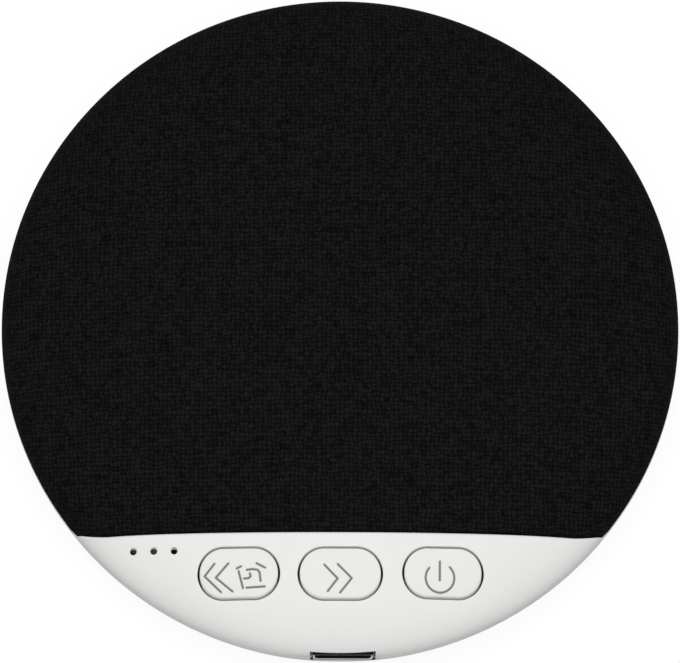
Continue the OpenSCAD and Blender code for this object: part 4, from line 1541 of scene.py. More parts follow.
@dataclass
class ControlPanel:
    """White panel before the cloth, with openings for the keys and three pinholes.

    Its inner face lies straight below the outer one near an opening, and turns square to it
    between the two distances of level_below.
    """

    form: CaseForm
    keys: Sequence[KeyPlace]
    slot: PortSlot
    wall: float = 1.3
    cloth_gap: float = 0.12
    edge_fillet: float = 0.32
    rim_fillet: float = 0.25
    key_gap: float = 0.27
    key_back: float = 0.05
    key_fillet: float = 0.12
    dish_depth: float = 0.06
    dish_reach: float = 1.0
    pinhole_middle: tuple[float, float] = (-22.84, -28.96)
    pinhole_d: float = 0.85
    pinhole_pitch: tuple[float, float] = (2.51, -0.063)
    pinhole_fillet: float = 0.1
    level_below: tuple[float, float] = (1.0, 2.6)
    pitch: float = 0.55
    inner_line: float = 0.25
    margin: float = 0.5
    step: float = 0.3
    front_arc: tuple[float, float] = (-155.0, -25.0)

    @property
    def pinholes(self) -> list[tuple[float, float]]:
        """Places of the three pinholes."""
        (x, y), (across, back) = self.pinhole_middle, self.pinhole_pitch
        return [(x + i * across, y + i * back) for i in (-1, 0, 1)]

    def opening(self, key: KeyPlace, grow: float) -> tuple[tuple[float, float], float, float]:
        """Gives the middle, length and width of a key's opening, grown by a distance."""
        more = 2 * (self.key_gap + grow)
        return (key.x, key.y + self.key_back), key.length + more, key.width + more

    def key_distance(self, plan: Array) -> Array:
        """Gives the distance of positions from the nearest key opening."""
        return np.min([pill_distance(plan, *self.opening(key, 0.0)) for key in self.keys], axis=0)

    def pinhole_distance(self, plan: Array) -> Array:
        """Gives the distance of positions from the nearest pinhole."""
        gaps = [lengths(plan - np.array(at)) for at in self.pinholes]
        return np.min(gaps, axis=0) - self.pinhole_d / 2

    def belongs(self, pattern: Array, margin: float = 0.0) -> Array:
        """Tells which points lie on the panel's smooth face, inside its fillets.

        Args:
            pattern: Pattern points.
            margin: Distance that they keep from the face's edges.

        Returns:
            The truth for each point.
        """
        surface = self.form.crown
        plan = surface.plan(pattern)
        return (
            (lengths(pattern) < surface.edge.rim_run - self.rim_fillet - margin)
            & (self.form.ahead_of_cloth(plan) > self.cloth_gap + self.edge_fillet + margin)
            & (self.key_distance(plan) > self.key_fillet + margin)
            & (self.pinhole_distance(plan) > self.pinhole_fillet + margin * 0.6)
            & ~self.slot.inside(surface.place(pattern), self.slot.fillet)
        )

    def draw(self) -> Pattern:
        """Draws the panel's flat pattern.

        Returns:
            The pattern.
        """
        form, surface = self.form, self.form.crown
        rim = surface.edge.rim_run - self.rim_fillet
        pattern = Pattern()
        for inset in (0.0, self.inner_line):
            last = inset == 0.0
            ahead = self.cloth_gap + self.edge_fillet + inset
            pattern.add_line(surface.pattern(form.front_edge(ahead, self.step)), border=last)
            rim_line = arc_line((0, 0), rim - inset, *self.front_arc, self.step)
            pattern.add_line(rim_line, border=last)
            for key in self.keys:
                outline = pill_line(*self.opening(key, self.key_fillet + inset), step=0.25)
                pattern.add_line(surface.pattern(outline), closed=True, border=last)
            for at in self.pinholes:
                radius = self.pinhole_d / 2 + self.pinhole_fillet + inset / 2
                ring = ring_line(at, radius, step=0.12)
                pattern.add_line(surface.pattern(ring), closed=True, border=last)
            slot = self.slot.lines(surface, self.slot.fillet + inset / 2)
            pattern.add_line(slot, border=last)
        grid = hex_grid((-rim, -rim), (rim, form.edge_y + form.corner_run), self.pitch)
        near_slot = self.slot.side(surface.place(grid), self.slot.fillet)[0]
        pattern.add_points(grid[self.belongs(grid, self.margin) & (near_slot > SLOT_MARGIN)])
        return pattern

    def build(self) -> None:
        """Builds the panel."""
        surface = self.form.crown
        pattern, triangles = self.draw().join(self.belongs)
        plan = surface.plan(pattern)
        along, normal = surface.slopes(pattern)
        outside = surface.place(pattern)
        near_key = self.key_distance(plan)
        dish = self.dish_depth * np.exp(-((np.maximum(near_key, 0.0) / self.dish_reach) ** 2))
        outside = outside - dish[:, None] * UP
        open_by = np.minimum(near_key, self.form.ahead_of_cloth(plan))
        lean = smooth_step(open_by, *self.level_below)[:, None]
        inside = outside - self.wall * unit_rows(UP * (1 - lean) + normal * lean)
        rows = (pattern, plan, outside, along, normal)

        def turn_of(loop: Array) -> EdgeTurn:
            """Gives how the panel turns over along one of its edges."""
            return self.edge_turn(*(row[loop] for row in rows))

        body = MeshPlan()
        body.shell(triangles, outside, inside, turn_of)
        panel = body.make("control_panel_cover")
        # Painted shade on the walls of the port slot.
        self.slot.shade(panel)
        hand_over(panel, "shell_white", "housing", "control_panel")

    def edge_turn(
        self, pattern: Array, plan: Array, outside: Array, along: Array, normal: Array
    ) -> EdgeTurn:
        """Gives how the panel turns over along one of its edges.

        Args:
            pattern: Pattern points of the edge.
            plan: Their positions seen from above.
            outside: Their places on the outer face.
            along: Directions outwards along the surface.
            normal: Outward normals of the surface.

        Returns:
            The turn. In a corner it leads over both edges at once.
        """
        bearing = unit_rows(plan)
        in_key = self.key_distance(plan) < self.key_fillet + ON_EDGE
        in_pinhole = self.pinhole_distance(plan) < self.pinhole_fillet + ON_EDGE
        if in_key.all() or in_pinhole.all():
            tangent = tangents(plan)
            into = np.column_stack([tangent[:, 1], -tangent[:, 0]])
            rise = along[:, 2] / lengths(along[:, :2])
            over = np.column_stack([into, rise * (into * bearing).sum(axis=1)])
            fillet = self.key_fillet if in_key.all() else self.pinhole_fillet
            return EdgeTurn(over, -UP, fillet, self.wall)
        rim = np.abs(self.form.crown.edge.rim_run - self.rim_fillet - lengths(pattern))
        ahead = self.form.ahead_of_cloth(plan) - self.cloth_gap - self.edge_fillet
        by_cloth = np.abs(ahead) < ON_EDGE
        at_rim = rim < ON_EDGE
        slot_gap, slot_in = self.slot.side(outside, self.slot.fillet)
        at_slot = (slot_gap < ON_EDGE) & ~by_cloth
        back, wall_down = turn_at_wall(normal, self.form.towards_cloth(plan))
        over, down, fillet = np.zeros_like(along), np.zeros_like(along), np.zeros(len(along))
        for here, way, wall, radius in (
            (by_cloth, back, wall_down, self.edge_fillet),
            (at_rim, along, level(-bearing), self.rim_fillet),
            (at_slot, slot_in, BACKWARDS, self.slot.fillet),
        ):
            over += here[:, None] * way
            down += here[:, None] * wall
            fillet = np.maximum(fillet, here * radius)
        return EdgeTurn(over, unit_rows(down), fillet, self.wall)


class KeyMark(Enum):
    """Marks that are cut into the keys."""

    BACK = "back_key"
    FORWARD = "forward_key"
    POWER = "power_key"

    @property
    def trim(self) -> tuple[float, float, float, float]:
        """How far the key shows aside, further back, longer and wider than its solid.

        Returns:
            The four lengths in millimetres.
        """
        if self is KeyMark.BACK:
            return 0.16, 0.21, -0.15, -0.1
        if self is KeyMark.FORWARD:
            return -0.03, 0.11, 0.19, 0.0
        return -0.08, 0.32, -0.29, -0.19

    def strokes(self) -> list[Array]:
        """Gives the mark's lines round the key's middle, in millimetres.

        Returns:
            The corners of each stroke.
        """
        if self is KeyMark.POWER:
            ring = arc_line((-0.36, -0.65), 1.76, 47.0, -222.0, 0.2)
            return [np.array([(-0.38, 1.30), (-0.38, -0.95)]), ring]
        lines = [
            [(-1.96, 1.00), (-0.33, -0.66), (-1.53, -2.18)],
            [(-0.30, 1.06), (1.41, -0.62), (-0.02, -2.35)],
        ]
        if self is KeyMark.BACK:
            lines = [
                [(-3.00, 1.13), (-4.21, -0.35), (-2.18, -2.26)],
                [(-1.30, 1.14), (-2.83, -0.54), (-0.77, -2.21)],
                [(-0.27, 0.52), (0.28, 0.77)],
                [(-0.03, 0.20), (0.52, -1.84)],
                [(0.98, 0.33), (1.66, 0.42), (2.30, 0.33), (2.56, 0.02), (2.68, -1.02)],
                [(0.65, -0.70), (1.22, -0.66), (1.47, -0.43), (1.35, -0.10)],
                [(0.96, -1.79), (3.20, -1.68)],
                [(2.17, 1.12), (3.22, 0.58)],
            ]
        return [np.array(line) for line in lines]


@dataclass
class Key:
    """One pill-shaped key with its mark cut into the top."""

    form: CaseForm
    place: KeyPlace
    mark: KeyMark
    proud: float = 0.45
    fillet: float = 0.2
    cut_depth: float = 0.1
    cut_width: float = 0.28
    cut_slope: tuple[float, float] = (-0.07, 0.04)
    pitch: float = 0.4
    margin: float = 0.38
    inner_line: float = 0.2
    fine: float = 0.07
    fine_margin: float = 0.25
    fine_reach: float = 0.1
    fine_gap: float = 0.12

    @cached_property
    def crown(self) -> RoundedEdge:
        """Profile that the key's top follows, above the panel."""
        case = self.form.crown.edge
        return RoundedEdge(0.0, case.rim_r + self.proud, case.height + self.proud, case.squareness)

    def build(self) -> None:
        """Builds the key."""
        key = self.place
        centre = np.array([key.x, key.y])
        strokes = [line + centre for line in self.mark.strokes()]
        pattern = Pattern()
        for inset in (0.0, self.inner_line):
            shrink = 2 * (self.fillet + inset)
            line = pill_line(centre, key.length - shrink, key.width - shrink, step=0.22)
            pattern.add_line(line, closed=True, border=inset == 0.0)
        size = np.array([key.length, key.width])
        coarse = hex_grid(centre - size / 2, centre + size / 2, self.pitch)
        close = hex_grid(centre - size / 2, centre + size / 2, self.fine)
        reach = self.cut_width / 2 + self.fine_reach
        coarse = coarse[chain_distance(coarse, strokes) > reach + self.fine_gap]
        close = close[chain_distance(close, strokes) < reach]
        for points, margin in ((coarse, self.margin), (close, self.fine_margin)):
            inside = pill_distance(points, centre, key.length, key.width) < -self.fillet - margin
            pattern.add_points(points[inside])

        def on_top(middle: Array) -> Array:
            """Tells which positions lie on the key's top."""
            return pill_distance(middle, centre, key.length, key.width) < -self.fillet

        plan, triangles = pattern.join(on_top)
        radius = lengths(plan)
        height = self.form.parting_z + self.crown.height_at(radius)
        gap = chain_distance(plan, strokes)
        cut = 1 - smooth_step(gap, *(self.cut_width / 2 + slope for slope in self.cut_slope))
        outside = np.column_stack([plan, height - self.cut_depth * cut])
        inside = np.column_stack([plan, np.full(len(plan), key.bottom_z)])
        step = 0.05
        ahead, behind = (self.crown.height_at(radius + side) for side in (step, -step))
        slope = (ahead - behind) / (2 * step)

        def turn_of(loop: Array) -> EdgeTurn:
            """Gives how the key turns over along its edge.

            Args:
                loop: Numbers of the edge's points.

            Returns:
                The turn.
            """
            edge = plan[loop]
            tangent = tangents(edge)
            out = np.column_stack([tangent[:, 1], -tangent[:, 0]])
            rise = slope[loop] * (out * unit_rows(edge)).sum(axis=1)
            return EdgeTurn(np.column_stack([out, rise]), -UP, self.fillet, 0.0)

        body = MeshPlan()
        body.shell(triangles, outside, inside, turn_of)
        # The lowest row of the wall goes down to the level of the key's underside.
        body.points[-2][:, 2] = key.bottom_z
        piece = body.make(f"{key.node}_cap")
        # Painted shade in the cut lines: grey where the grooves lie.
        values = np.zeros(len(piece.data.vertices))
        values[: len(cut)] = cut
        store(piece, "painted_shade", values)
        hand_over(piece, "key_white", key.body, key.node)


@dataclass
class BottomShell:
    """White lower casing with recesses for its feet and counterbores for its screws."""

    form: CaseForm
    slot: PortSlot
    wall: float = 1.5
    rim_fillet: float = 0.3
    hole_fillet: float = 0.2
    recess: float = 0.5
    foot_gap: float = 0.06
    counterbore_r: float = 2.2
    counterbore_depth: float = 2.4
    pitch: float = 1.5
    inner_line: float = 0.35
    rings: int = 15
    margin: float = 0.5
    step: float = 0.7

    @cached_property
    def wells(self) -> list[tuple[Array, float, float]]:
        """Place, radius and depth of each recess and counterbore.

        Returns:
            A row for each.
        """
        found = []
        for low, high in corner_boxes("rubber_feet"):
            middle = (low[:2] + high[:2]) / 2
            found.append((middle, (high[0] - low[0]) / 2 + self.foot_gap, self.recess))
        for low, high in corner_boxes("case_screws"):
            found.append(((low[:2] + high[:2]) / 2, self.counterbore_r, self.counterbore_depth))
        return found

    def well_distance(self, plan: Array) -> Array:
        """Gives the distance of positions from the nearest recess or counterbore."""
        gaps = [lengths(plan - at) - radius for at, radius, _ in self.wells]
        return np.min(gaps, axis=0)

    def belongs(self, pattern: Array, margin: float = 0.0) -> Array:
        """Tells which points lie on the shell's smooth face, inside its fillets.

        Args:
            pattern: Pattern points.
            margin: Distance that they keep from the recesses and counterbores.

        Returns:
            The truth for each point.
        """
        surface = self.form.bowl
        return (
            (lengths(pattern) < surface.edge.rim_run - self.rim_fillet)
            & (self.well_distance(surface.plan(pattern)) > self.hole_fillet + margin)
            & ~self.slot.inside(surface.place(pattern), self.slot.fillet)
        )

    def draw(self) -> Pattern:
        """Draws the shell's flat pattern.

        Returns:
            The pattern.
        """
        surface = self.form.bowl
        edge = surface.edge
        rim = edge.rim_run - self.rim_fillet
        pattern = Pattern()
        for inset in (0.0, self.inner_line):
            last = inset == 0.0
            circle = ring_line((0, 0), rim - inset, self.step)
            pattern.add_line(circle, closed=True, border=last)
            for at, radius, _ in self.wells:
                ring = ring_line(at, radius + self.hole_fillet + inset, step=0.4)
                pattern.add_line(surface.pattern(ring), closed=True, border=last)
            slot = self.slot.lines(surface, self.slot.fillet + inset / 2)
            pattern.add_line(slot, border=last)
        for run in np.linspace(edge.flat_r, rim, self.rings, endpoint=False):
            pattern.add_points(ring_line((0, 0), run, step=0.9))
        grid = hex_grid((-edge.flat_r, -edge.flat_r), (edge.flat_r, edge.flat_r), self.pitch)
        pattern.add_points(grid[lengths(grid) < edge.flat_r - self.margin])
        for index, points in list(enumerate(pattern.points))[len(pattern.edges) :]:
            near_slot = self.slot.side(surface.place(points), self.slot.fillet)[0]
            clear = self.belongs(points, self.margin) & (near_slot > SLOT_MARGIN)
            pattern.points[index] = points[clear]
        return pattern

    def build(self) -> None:
        """Builds the shell."""
        surface = self.form.bowl
        pattern, triangles = self.draw().join(self.belongs)
        triangles = triangles[:, ::-1]
        plan = surface.plan(pattern)
        along, normal = surface.slopes(pattern)
        outside = surface.place(pattern)
        inside = outside - self.wall * normal

        def turn_of(loop: Array) -> EdgeTurn:
            """Gives how the shell turns over along one of its edges.

            Args:
                loop: Numbers of the edge's points.

            Returns:
                The turn.
            """
            gap = self.well_distance(plan[loop])
            if (gap < self.hole_fillet + ON_EDGE).all():
                middle = plan[loop].mean(axis=0)
                near = min(self.wells, key=lambda well: np.linalg.norm(well[0] - middle))
                into = level(unit_rows(middle - plan[loop]))
                depth = near[2] - self.hole_fillet
                return EdgeTurn(into, UP, self.hole_fillet, depth, True)
            slot_gap, slot_in = self.slot.side(outside[loop], self.slot.fillet)
            at_slot = (slot_gap < ON_EDGE)[:, None]
            rim = np.abs(surface.edge.rim_run - self.rim_fillet - lengths(pattern[loop]))
            at_rim = (rim < ON_EDGE)[:, None]
            inwards = level(-unit_rows(plan[loop]))
            over = at_rim * along[loop] + at_slot * slot_in
            down = at_rim * inwards + at_slot * BACKWARDS
            fillet = np.where(at_rim[:, 0], self.rim_fillet, self.slot.fillet)
            return EdgeTurn(over, unit_rows(down), fillet, self.wall)

        body = MeshPlan()
        body.shell(triangles, outside, inside, turn_of)
        shell = body.make("bottom_shell_cover")
        # Painted shade on the walls of the port slot.
        self.slot.shade(shell)
        hand_over(shell, "shell_white", "housing", "bottom_shell")


def set_out_tree() -> Tree:
    """Builds the tree that sets a like piece out at each of some places.

    Returns:
        The tree. Each piece is turned by its own share of the largest turn.
    """
    inputs = [("Piece", "NodeSocketObject"), ("Largest Turn", "NodeSocketFloat")]
    inputs += [("Seed", "NodeSocketInt"), ("Finish", "NodeSocketMaterial")]
    tree, given = start_tree("Set Out Like Pieces", inputs)
    size = given.outputs
    piece = add_node(tree, "GeometryNodeObjectInfo", {"Object": size["Piece"]})
    turns = {"Max": size["Largest Turn"], "Seed": size["Seed"]}
    share = add_node(tree, "FunctionNodeRandomValue", turns, data_type="FLOAT").outputs["Value"]
    turn = add_node(tree, "ShaderNodeCombineXYZ", {"Z": share}).outputs[0]
    copies = {"Points": size["Geometry"], "Instance": piece.outputs["Geometry"], "Rotation": turn}
    placed = add_node(tree, "GeometryNodeInstanceOnPoints", copies)
    end_tree(tree, given, placed.outputs[0])
    return tree


def set_out(
    piece: Piece, name: str, places: Sequence[Array], slot: str, turn: float, seed: int
) -> Piece:
    """Sets copies of a piece out at some places, as one piece.

    Args:
        piece: The piece to copy, which is removed.
        name: Name of the result.
        places: Places in millimetres.
        slot: Slot that gives the finish.
        turn: Largest turn of a copy, in degrees.
        seed: Seed of the turns.

    Returns:
        The joined copies.
    """
    mesh = bpy.data.meshes.new(name)
    mesh.from_pydata((np.array(places) * MM).tolist(), [], [])
    result = add_object(name, mesh)
    values = {"Piece": piece, "Largest Turn": math.radians(turn), "Seed": seed}
    values["Finish"] = finish_for(slot)
    add_tree_modifier(result, set_out_tree(), values)
    bake_modifiers(result)
    bpy.data.objects.remove(piece)
    return result


@dataclass
class Fittings:
    """Rubber feet and case screws under the casing."""

    foot_edge: float = 0.35
    foot_dish: float = 0.12
    screw_side: float = 0.35
    head_wall: float = 0.5
    shank_r: float = 1.0
    head_rise: float = 0.16
    recess_half: float = 0.2
    recess_reach: float = 1.15
    recess_depth: float = 0.8
    recess_fillet: float = 0.05

    def feet(self) -> None:
        """Builds the four feet."""
        boxes = corner_boxes("rubber_feet")
        low, high = boxes[0]
        radius, height = (high[0] - low[0]) / 2, high[2] - low[2]
        curve = [
            (radius - self.foot_edge * (1 - math.sin(a)), self.foot_edge * (1 - math.cos(a)))
            for a in np.linspace(math.pi / 2, 0, 7)
        ]
        body = MeshPlan()
        dish = [(radius * 0.8, 0.0), (radius * 0.74, self.foot_dish)]
        rows = body.rings([(radius, height), *curve, *dish], (0.0, 0.0), sides=48)
        body.fan(rows[0][::-1])
        body.fan(rows[-1])
        piece = body.make("foot", sharp=60.0)
        feet = set_out(piece, "feet", undersides(boxes), "rubber_grey", turn=0.0, seed=1)
        hand_over(feet, "rubber_grey", "housing", "rubber_feet")

    def screw(self, head_r: float, shank_r: float, length: float) -> Piece:
        """Builds one pan-head screw with a cross recess, head down at the origin.

        Args:
            head_r: Radius of the head.
            shank_r: Radius of the shank.
            length: Whole length.

        Returns:
            The screw.
        """
        arm, half = self.recess_reach, self.recess_half
        quarter = [(arm, -half), (arm, half), (half, half)]
        cross = [
            (x * math.cos(a) - y * math.sin(a), x * math.sin(a) + y * math.cos(a))
            for a in (0, math.pi / 2, math.pi, -math.pi / 2)
            for x, y in quarter
        ]
        outline = dense_line(cross + cross[:1], step=0.12)[:-1]
        flat_r = head_r - self.screw_side
        pattern = Pattern()
        pattern.add_line(ring_line((0, 0), flat_r, step=0.2), closed=True)
        pattern.add_line(outline, closed=True)
        grid = hex_grid((-flat_r, -flat_r), (flat_r, flat_r), pitch=0.22)
        away = chain_distance(grid, [np.vstack([outline, outline[:1]])])
        pattern.add_points(grid[(lengths(grid) < flat_r - 0.12) & (away > 0.1)])

        def on_head(middle: Array) -> Array:
            """Tells which positions lie on the head beside its recess.

            Args:
                middle: Positions to judge.

            Returns:
                The truth for each.
            """
            side = np.abs(middle)
            in_cross = (side.max(axis=1) < arm) & (side.min(axis=1) < half)
            return (lengths(middle) < flat_r) & ~in_cross

        plan, triangles = pattern.join(on_head)
        triangles = triangles[:, ::-1]
        crown = self.head_rise * (1 - (lengths(plan) / flat_r) ** 2)
        outside = np.column_stack([plan, self.head_rise - crown])
        inside = np.column_stack([plan * (shank_r / flat_r), np.full(len(plan), length)])

        def turn_of(loop: Array) -> EdgeTurn:
            """Gives how the head turns over at its rim and into its recess.

            Args:
                loop: Numbers of the edge's points.

            Returns:
                The turn.
            """
            edge = plan[loop]
            if lengths(edge).min() > flat_r - ON_EDGE:
                return EdgeTurn(level(unit_rows(edge)), UP, self.screw_side, self.head_wall)
            tangent = tangents(edge)
            into = level(np.column_stack([-tangent[:, 1], tangent[:, 0]]))
            return EdgeTurn(into, UP, self.recess_fillet, self.recess_depth, True)

        body = MeshPlan()
        body.shell(triangles, outside, inside, turn_of)
        return body.make("screw", sharp=40.0)

    def case_screws(self) -> None:
        """Builds the four case screws."""
        boxes = corner_boxes("case_screws")
        low, high = boxes[0]
        piece = self.screw((high[0] - low[0]) / 2, self.shank_r, high[2] - low[2])
        places = undersides(boxes)
        screws = set_out(piece, "case_screw_set", places, "screw_steel", turn=90.0, seed=5)
        hand_over(screws, "screw_steel", "housing", "case_screws")


@dataclass
class ChargingSocket:
    """Drawn sheet-steel shell of the charging socket, with a rounded edge at its mouth and painted
    shade, black, inside it.
    """

    sheet: float = 0.3
    bevel: float = 0.55
    corner: float = 0.4
    lip: float = 0.08
    reach: float = 0.2
    # How far back from the mouth the painted shade reaches on the outer face.
    painted_shade_depth: float = 1.1

    def outline(self, low: Array, high: Array, inset: float) -> Array:
        """Gives the shell's outline in X and Z, with rounded corners.

        Args:
            low: Lowest corner of the shell.
            high: Highest corner of the shell.
            inset: Distance inwards from the outer face.

        Returns:
            The closed outline without its first point repeated.
        """
        x0, z0, x1, z1 = low[0], low[2], high[0], high[2]
        left, right, up = x0 + self.bevel, x1 - self.bevel, z0 + self.bevel
        corners = np.array([(left, z0), (right, z0), (x1, up), (x1, z1), (x0, z1), (x0, up)])
        points, normals = [], []
        for before, here, after in zip(np.roll(corners, 1, 0), corners, np.roll(corners, -1, 0)):
            one = (here - before) / np.linalg.norm(here - before)
            two = (after - here) / np.linalg.norm(after - here)
            half = math.acos(max(-1.0, min(1.0, float(one @ two)))) / 2
            start = np.array([one[1], -one[0]])
            centre = here - one * self.corner * math.tan(half) - start * self.corner
            for share in np.linspace(0, 1, 7):
                turn = 2 * half * share
                normal = start * math.cos(turn) + one * math.sin(turn)
                points.append(centre + normal * self.corner)
                normals.append(normal)
        return np.array(points) - np.array(normals) * inset

    def build(self) -> None:
        """Builds the socket's shell."""
        low, high = box_mm("usb_shell")
        mouth, back = low[1] - self.reach, high[1]
        # The third value of each row is its share of painted shade: black inside, over the lip and on
        # the outside just behind the mouth, where the slot shades it.
        rows = [
            (self.sheet, back - self.sheet, 1.0),
            (self.sheet, mouth + self.lip, 1.0),
            (self.sheet - self.lip, mouth, 1.0),
            (self.lip, mouth, 1.0),
            (0.0, mouth + self.lip, 1.0),
            (0.0, mouth + self.painted_shade_depth, 1.0),
            (0.0, mouth + self.painted_shade_depth + self.lip, 0.0),
            (0.0, back - self.lip, 0.0),
            (self.lip, back, 0.0),
        ]
        body = MeshPlan()
        numbers, painted_shade_rows = [], []
        for inset, y, mark in rows:
            line = self.outline(low, high, inset)
            numbers.append(body.add(np.insert(line, 1, y, axis=1)))
            bare = (y == mouth) & (line[:, 1] < high[2] - self.corner)
            painted_shade_rows.append(mark * (1.0 - bare))
        for before, here in zip(numbers[:-1], numbers[1:]):
            body.strip(here, before)
        body.fan(numbers[-1][::-1])
        body.fan(numbers[0])
        shell = body.make("charging_socket_shell", sharp=60.0)
        store(shell, "painted_shade", np.concatenate([*painted_shade_rows, [0.0, 1.0]]))
        hand_over(shell, "socket_steel", "housing", "usb_shell")


@dataclass
class FoamPads:
    """Closed-cell foam: the pad under the battery and the gasket on the driver."""

    edge: float = 0.2
    gasket_width: float = 1.4
    bow: float = 0.03
    squareness: float = 0.55

    def battery_pad(self) -> None:
        """Builds the pad under the battery, swollen a little between its edges."""
        low, high = box_mm("battery_pad")
        size, middle = high - low, (low + high) / 2
        x, y = np.meshgrid(np.linspace(-1, 1, 25), np.linspace(-1, 1, 13))
        round_x = x * np.sqrt(1 - self.bow * y**2)
        round_y = y * np.sqrt(1 - self.bow * x**2)
        swell = (1 - x**8) * (1 - y**8)
        thick = (size[2] / 2 - self.edge) + self.edge * np.sqrt(np.clip(swell, 0, 1))
        plan = np.column_stack([round_x.ravel(), round_y.ravel()]) * size[:2] / 2 + middle[:2]
        body = MeshPlan()
        numbers = np.arange(x.size).reshape(x.shape)
        corners = [numbers[:-1, :-1], numbers[:-1, 1:], numbers[1:, 1:], numbers[1:, :-1]]
        quads = np.stack(corners, axis=-1).reshape(-1, 4)
        top = body.add(np.column_stack([plan, middle[2] + thick.ravel()]))
        bottom = body.add(np.column_stack([plan, middle[2] - thick.ravel()]))
        body.triangles(top[quads])
        body.triangles(bottom[quads][:, ::-1])
        sides = [numbers[0, :-1], numbers[:-1, -1], numbers[-1, :0:-1], numbers[:0:-1, 0]]
        rim = np.concatenate(sides)
        body.strip(top[rim], bottom[rim])
        pad = body.make("battery_foam", sharp=60.0)
        hand_over(pad, "foam_grey", "housing", "battery_pad")

    def gasket(self) -> None:
        """Builds the ring of foam between the driver and the grille frame."""
        low, high = box_mm("driver_gasket")
        middle = (low + high)[:2] / 2
        outer = (high[0] - low[0]) / 2
        centre = np.array([outer - self.gasket_width / 2, (low[2] + high[2]) / 2])
        half = np.array([self.gasket_width, high[2] - low[2]]) / 2
        angles = np.linspace(math.pi, -math.pi, 25)[:-1]
        ring = np.column_stack([np.cos(angles), np.sin(angles)])
        section = centre + half * np.sign(ring) * np.abs(ring) ** self.squareness
        body = MeshPlan()
        rows = body.rings(section, middle, sides=96)
        body.strip(rows[-1], rows[0])
        gasket = body.make("gasket_foam", sharp=60.0)
        hand_over(gasket, "foam_grey", "housing", "driver_gasket")


def dress_inner_pieces() -> None:
    """Gives every carried-over node the finish of its slot."""
    for row in frame["record"]["subparts"]:
        piece = frame["nodes"][row["node"]]
        dress(piece, row["material_slot"])
        LOG.info("%s: %s", piece.name, row["material_slot"])


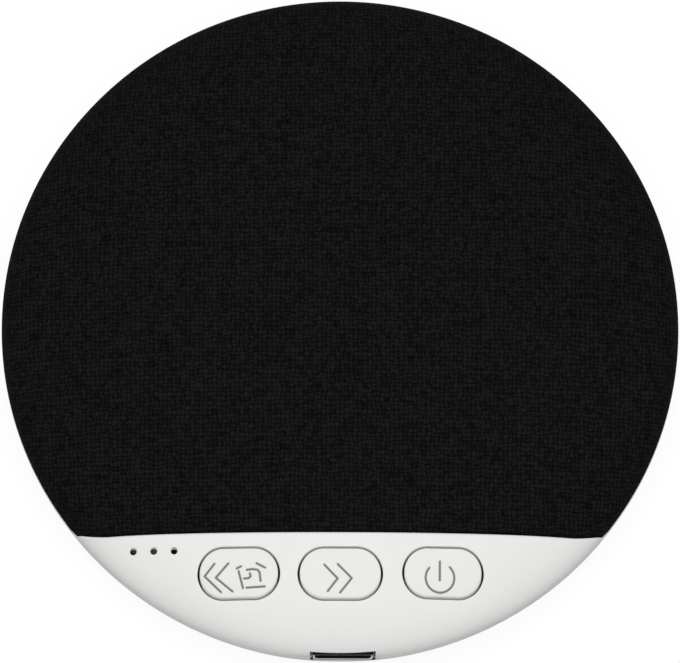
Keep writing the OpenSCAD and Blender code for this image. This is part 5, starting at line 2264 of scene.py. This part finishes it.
@dataclass
class Studio:
    """Pale floor, soft light and the camera, at the photograph's viewing angle.

    The floor, the lamp's place and its size are in metres, and its power is in watts.
    """

    form: CaseForm
    elevation: float = 76.5
    roll: float = 0.15
    lens: float = 1600.0
    sensor: float = 36.0
    image_width: int = 680
    pixels_per_mm: float = 8.108
    aim: tuple[float, float] = (-0.004, -0.13)
    floor_size: float = 6.0
    floor_z: float = -0.02
    level_light: tuple[float, float] = (0.25, 0.68)
    lamp_place: tuple[float, float, float] = (0.0, -0.15, 0.85)
    lamp_size: float = 0.6
    lamp_power: float = 3.15

    def camera(self) -> None:
        """Sets up the camera."""
        data = bpy.data.cameras.new("camera")
        data.lens = self.lens
        data.sensor_width = self.sensor
        camera = add_object("camera", data)
        field = self.image_width / self.pixels_per_mm * MM
        distance = field / 2 / (self.sensor / 2 / self.lens)
        tilt = math.radians(self.elevation)
        back = Vector((0.0, -math.cos(tilt), math.sin(tilt)))
        target = Vector((self.aim[0], self.aim[1], self.form.parting_z)) * MM
        camera.location = target + back * distance
        roll = Matrix.Rotation(math.radians(self.roll), 3, "Z")
        turn = (-back).to_track_quat("-Z", "Y").to_matrix() @ roll
        camera.rotation_euler = turn.to_euler()
        data.clip_start, data.clip_end = 0.05, 20.0
        bpy.context.scene.camera = camera

    def white_for_camera(self, tree: Tree) -> Socket:
        """Gives 1 for rays that come from the camera, a reflection or clear plastic.

        Args:
            tree: Tree of a material or of the world.

        Returns:
            The number, 0 or 1.
        """
        path = add_node(tree, "ShaderNodeLightPath")
        seen = path.outputs["Is Camera Ray"]
        for name in ("Is Glossy Ray", "Is Transmission Ray"):
            either = {0: seen, 1: path.outputs[name]}
            seen = add_node(tree, "ShaderNodeMath", either, operation="MAXIMUM").outputs[0]
        return seen

    def floor(self) -> None:
        """Lays the floor, which looks white and keeps the object's shadow."""
        half = self.floor_size / 2
        mesh = bpy.data.meshes.new("floor")
        corners = [(-half, -half), (half, -half), (half, half), (-half, half)]
        mesh.from_pydata([(x, y, self.floor_z * MM) for x, y in corners], [], [(0, 1, 2, 3)])
        floor = add_object("floor", mesh)
        material, tree = start_material("white paper")
        plain = add_node(tree, "ShaderNodeBsdfDiffuse", {"Color": (1, 1, 1, 1)})
        dim = add_node(tree, "ShaderNodeBsdfDiffuse", {"Color": linear("#9A9A9A")})
        white = add_node(tree, "ShaderNodeEmission", {"Color": (1, 1, 1, 1), "Strength": 1.04})
        shown = {0: 0.85, 1: plain.outputs[0], 2: white.outputs[0]}
        lit = add_node(tree, "ShaderNodeMixShader", shown)
        seen = {0: self.white_for_camera(tree), 1: dim.outputs[0], 2: lit.outputs[0]}
        end_material(tree, add_node(tree, "ShaderNodeMixShader", seen))
        mesh.materials.append(material)

    def world(self) -> None:
        """Lights the scene from all round, more from above, before a white background."""
        world = bpy.data.worlds.new("studio")
        world.use_nodes = True
        bpy.context.scene.world = world
        tree = world.node_tree
        tree.nodes.clear()
        sky = add_node(tree, "ShaderNodeTexCoord")
        up = add_node(tree, "ShaderNodeSeparateXYZ", {0: sky.outputs["Generated"]})
        low, high = self.level_light
        rise = {"Value": up.outputs["Z"], "To Min": low, "To Max": high}
        strength = add_node(tree, "ShaderNodeMapRange", rise).outputs[0]
        plain = {"Color": (1, 1, 1, 1), "Strength": strength}
        soft = add_node(tree, "ShaderNodeBackground", plain)
        white = add_node(tree, "ShaderNodeBackground", {"Color": (1, 1, 1, 1), "Strength": 1.0})
        seen = {0: self.white_for_camera(tree), 1: soft.outputs[0], 2: white.outputs[0]}
        both = add_node(tree, "ShaderNodeMixShader", seen)
        add_node(tree, "ShaderNodeOutputWorld", {"Surface": both.outputs[0]})

    def lamp(self) -> None:
        """Hangs the soft lamp, which faces the object."""
        data = bpy.data.lights.new("key_lamp", "AREA")
        data.size = self.lamp_size
        data.energy = self.lamp_power
        lamp = add_object("key_lamp", data)
        lamp.location = self.lamp_place
        lamp.rotation_euler = (-Vector(self.lamp_place)).to_track_quat("-Z", "Y").to_euler()

    def build(self) -> None:
        """Builds the whole studio."""
        bpy.context.scene.view_settings.view_transform = "Standard"
        self.camera()
        self.floor()
        self.world()
        self.lamp()
        LOG.info("studio: camera at %.1f degrees, floor, world and lamp", self.elevation)


def main() -> None:
    """Builds the studio and every piece of the speaker, in order."""
    logging.basicConfig(level=logging.INFO, format="%(name)s: %(message)s")
    form = CaseForm.from_frame()
    Studio(form).build()
    dress_inner_pieces()
    keys = [KeyPlace.from_frame(mark) for mark in KeyMark]
    slot = PortSlot.from_frame()
    ClothCover(form).build()
    ControlPanel(form, keys, slot).build()
    for place, mark in zip(keys, KeyMark):
        Key(form, place, mark).build()
    BottomShell(form, slot).build()
    fittings = Fittings()
    fittings.feet()
    fittings.case_screws()
    ChargingSocket().build()
    pads = FoamPads()
    pads.battery_pad()
    pads.gasket()


if __name__ == "__main__":
    main()
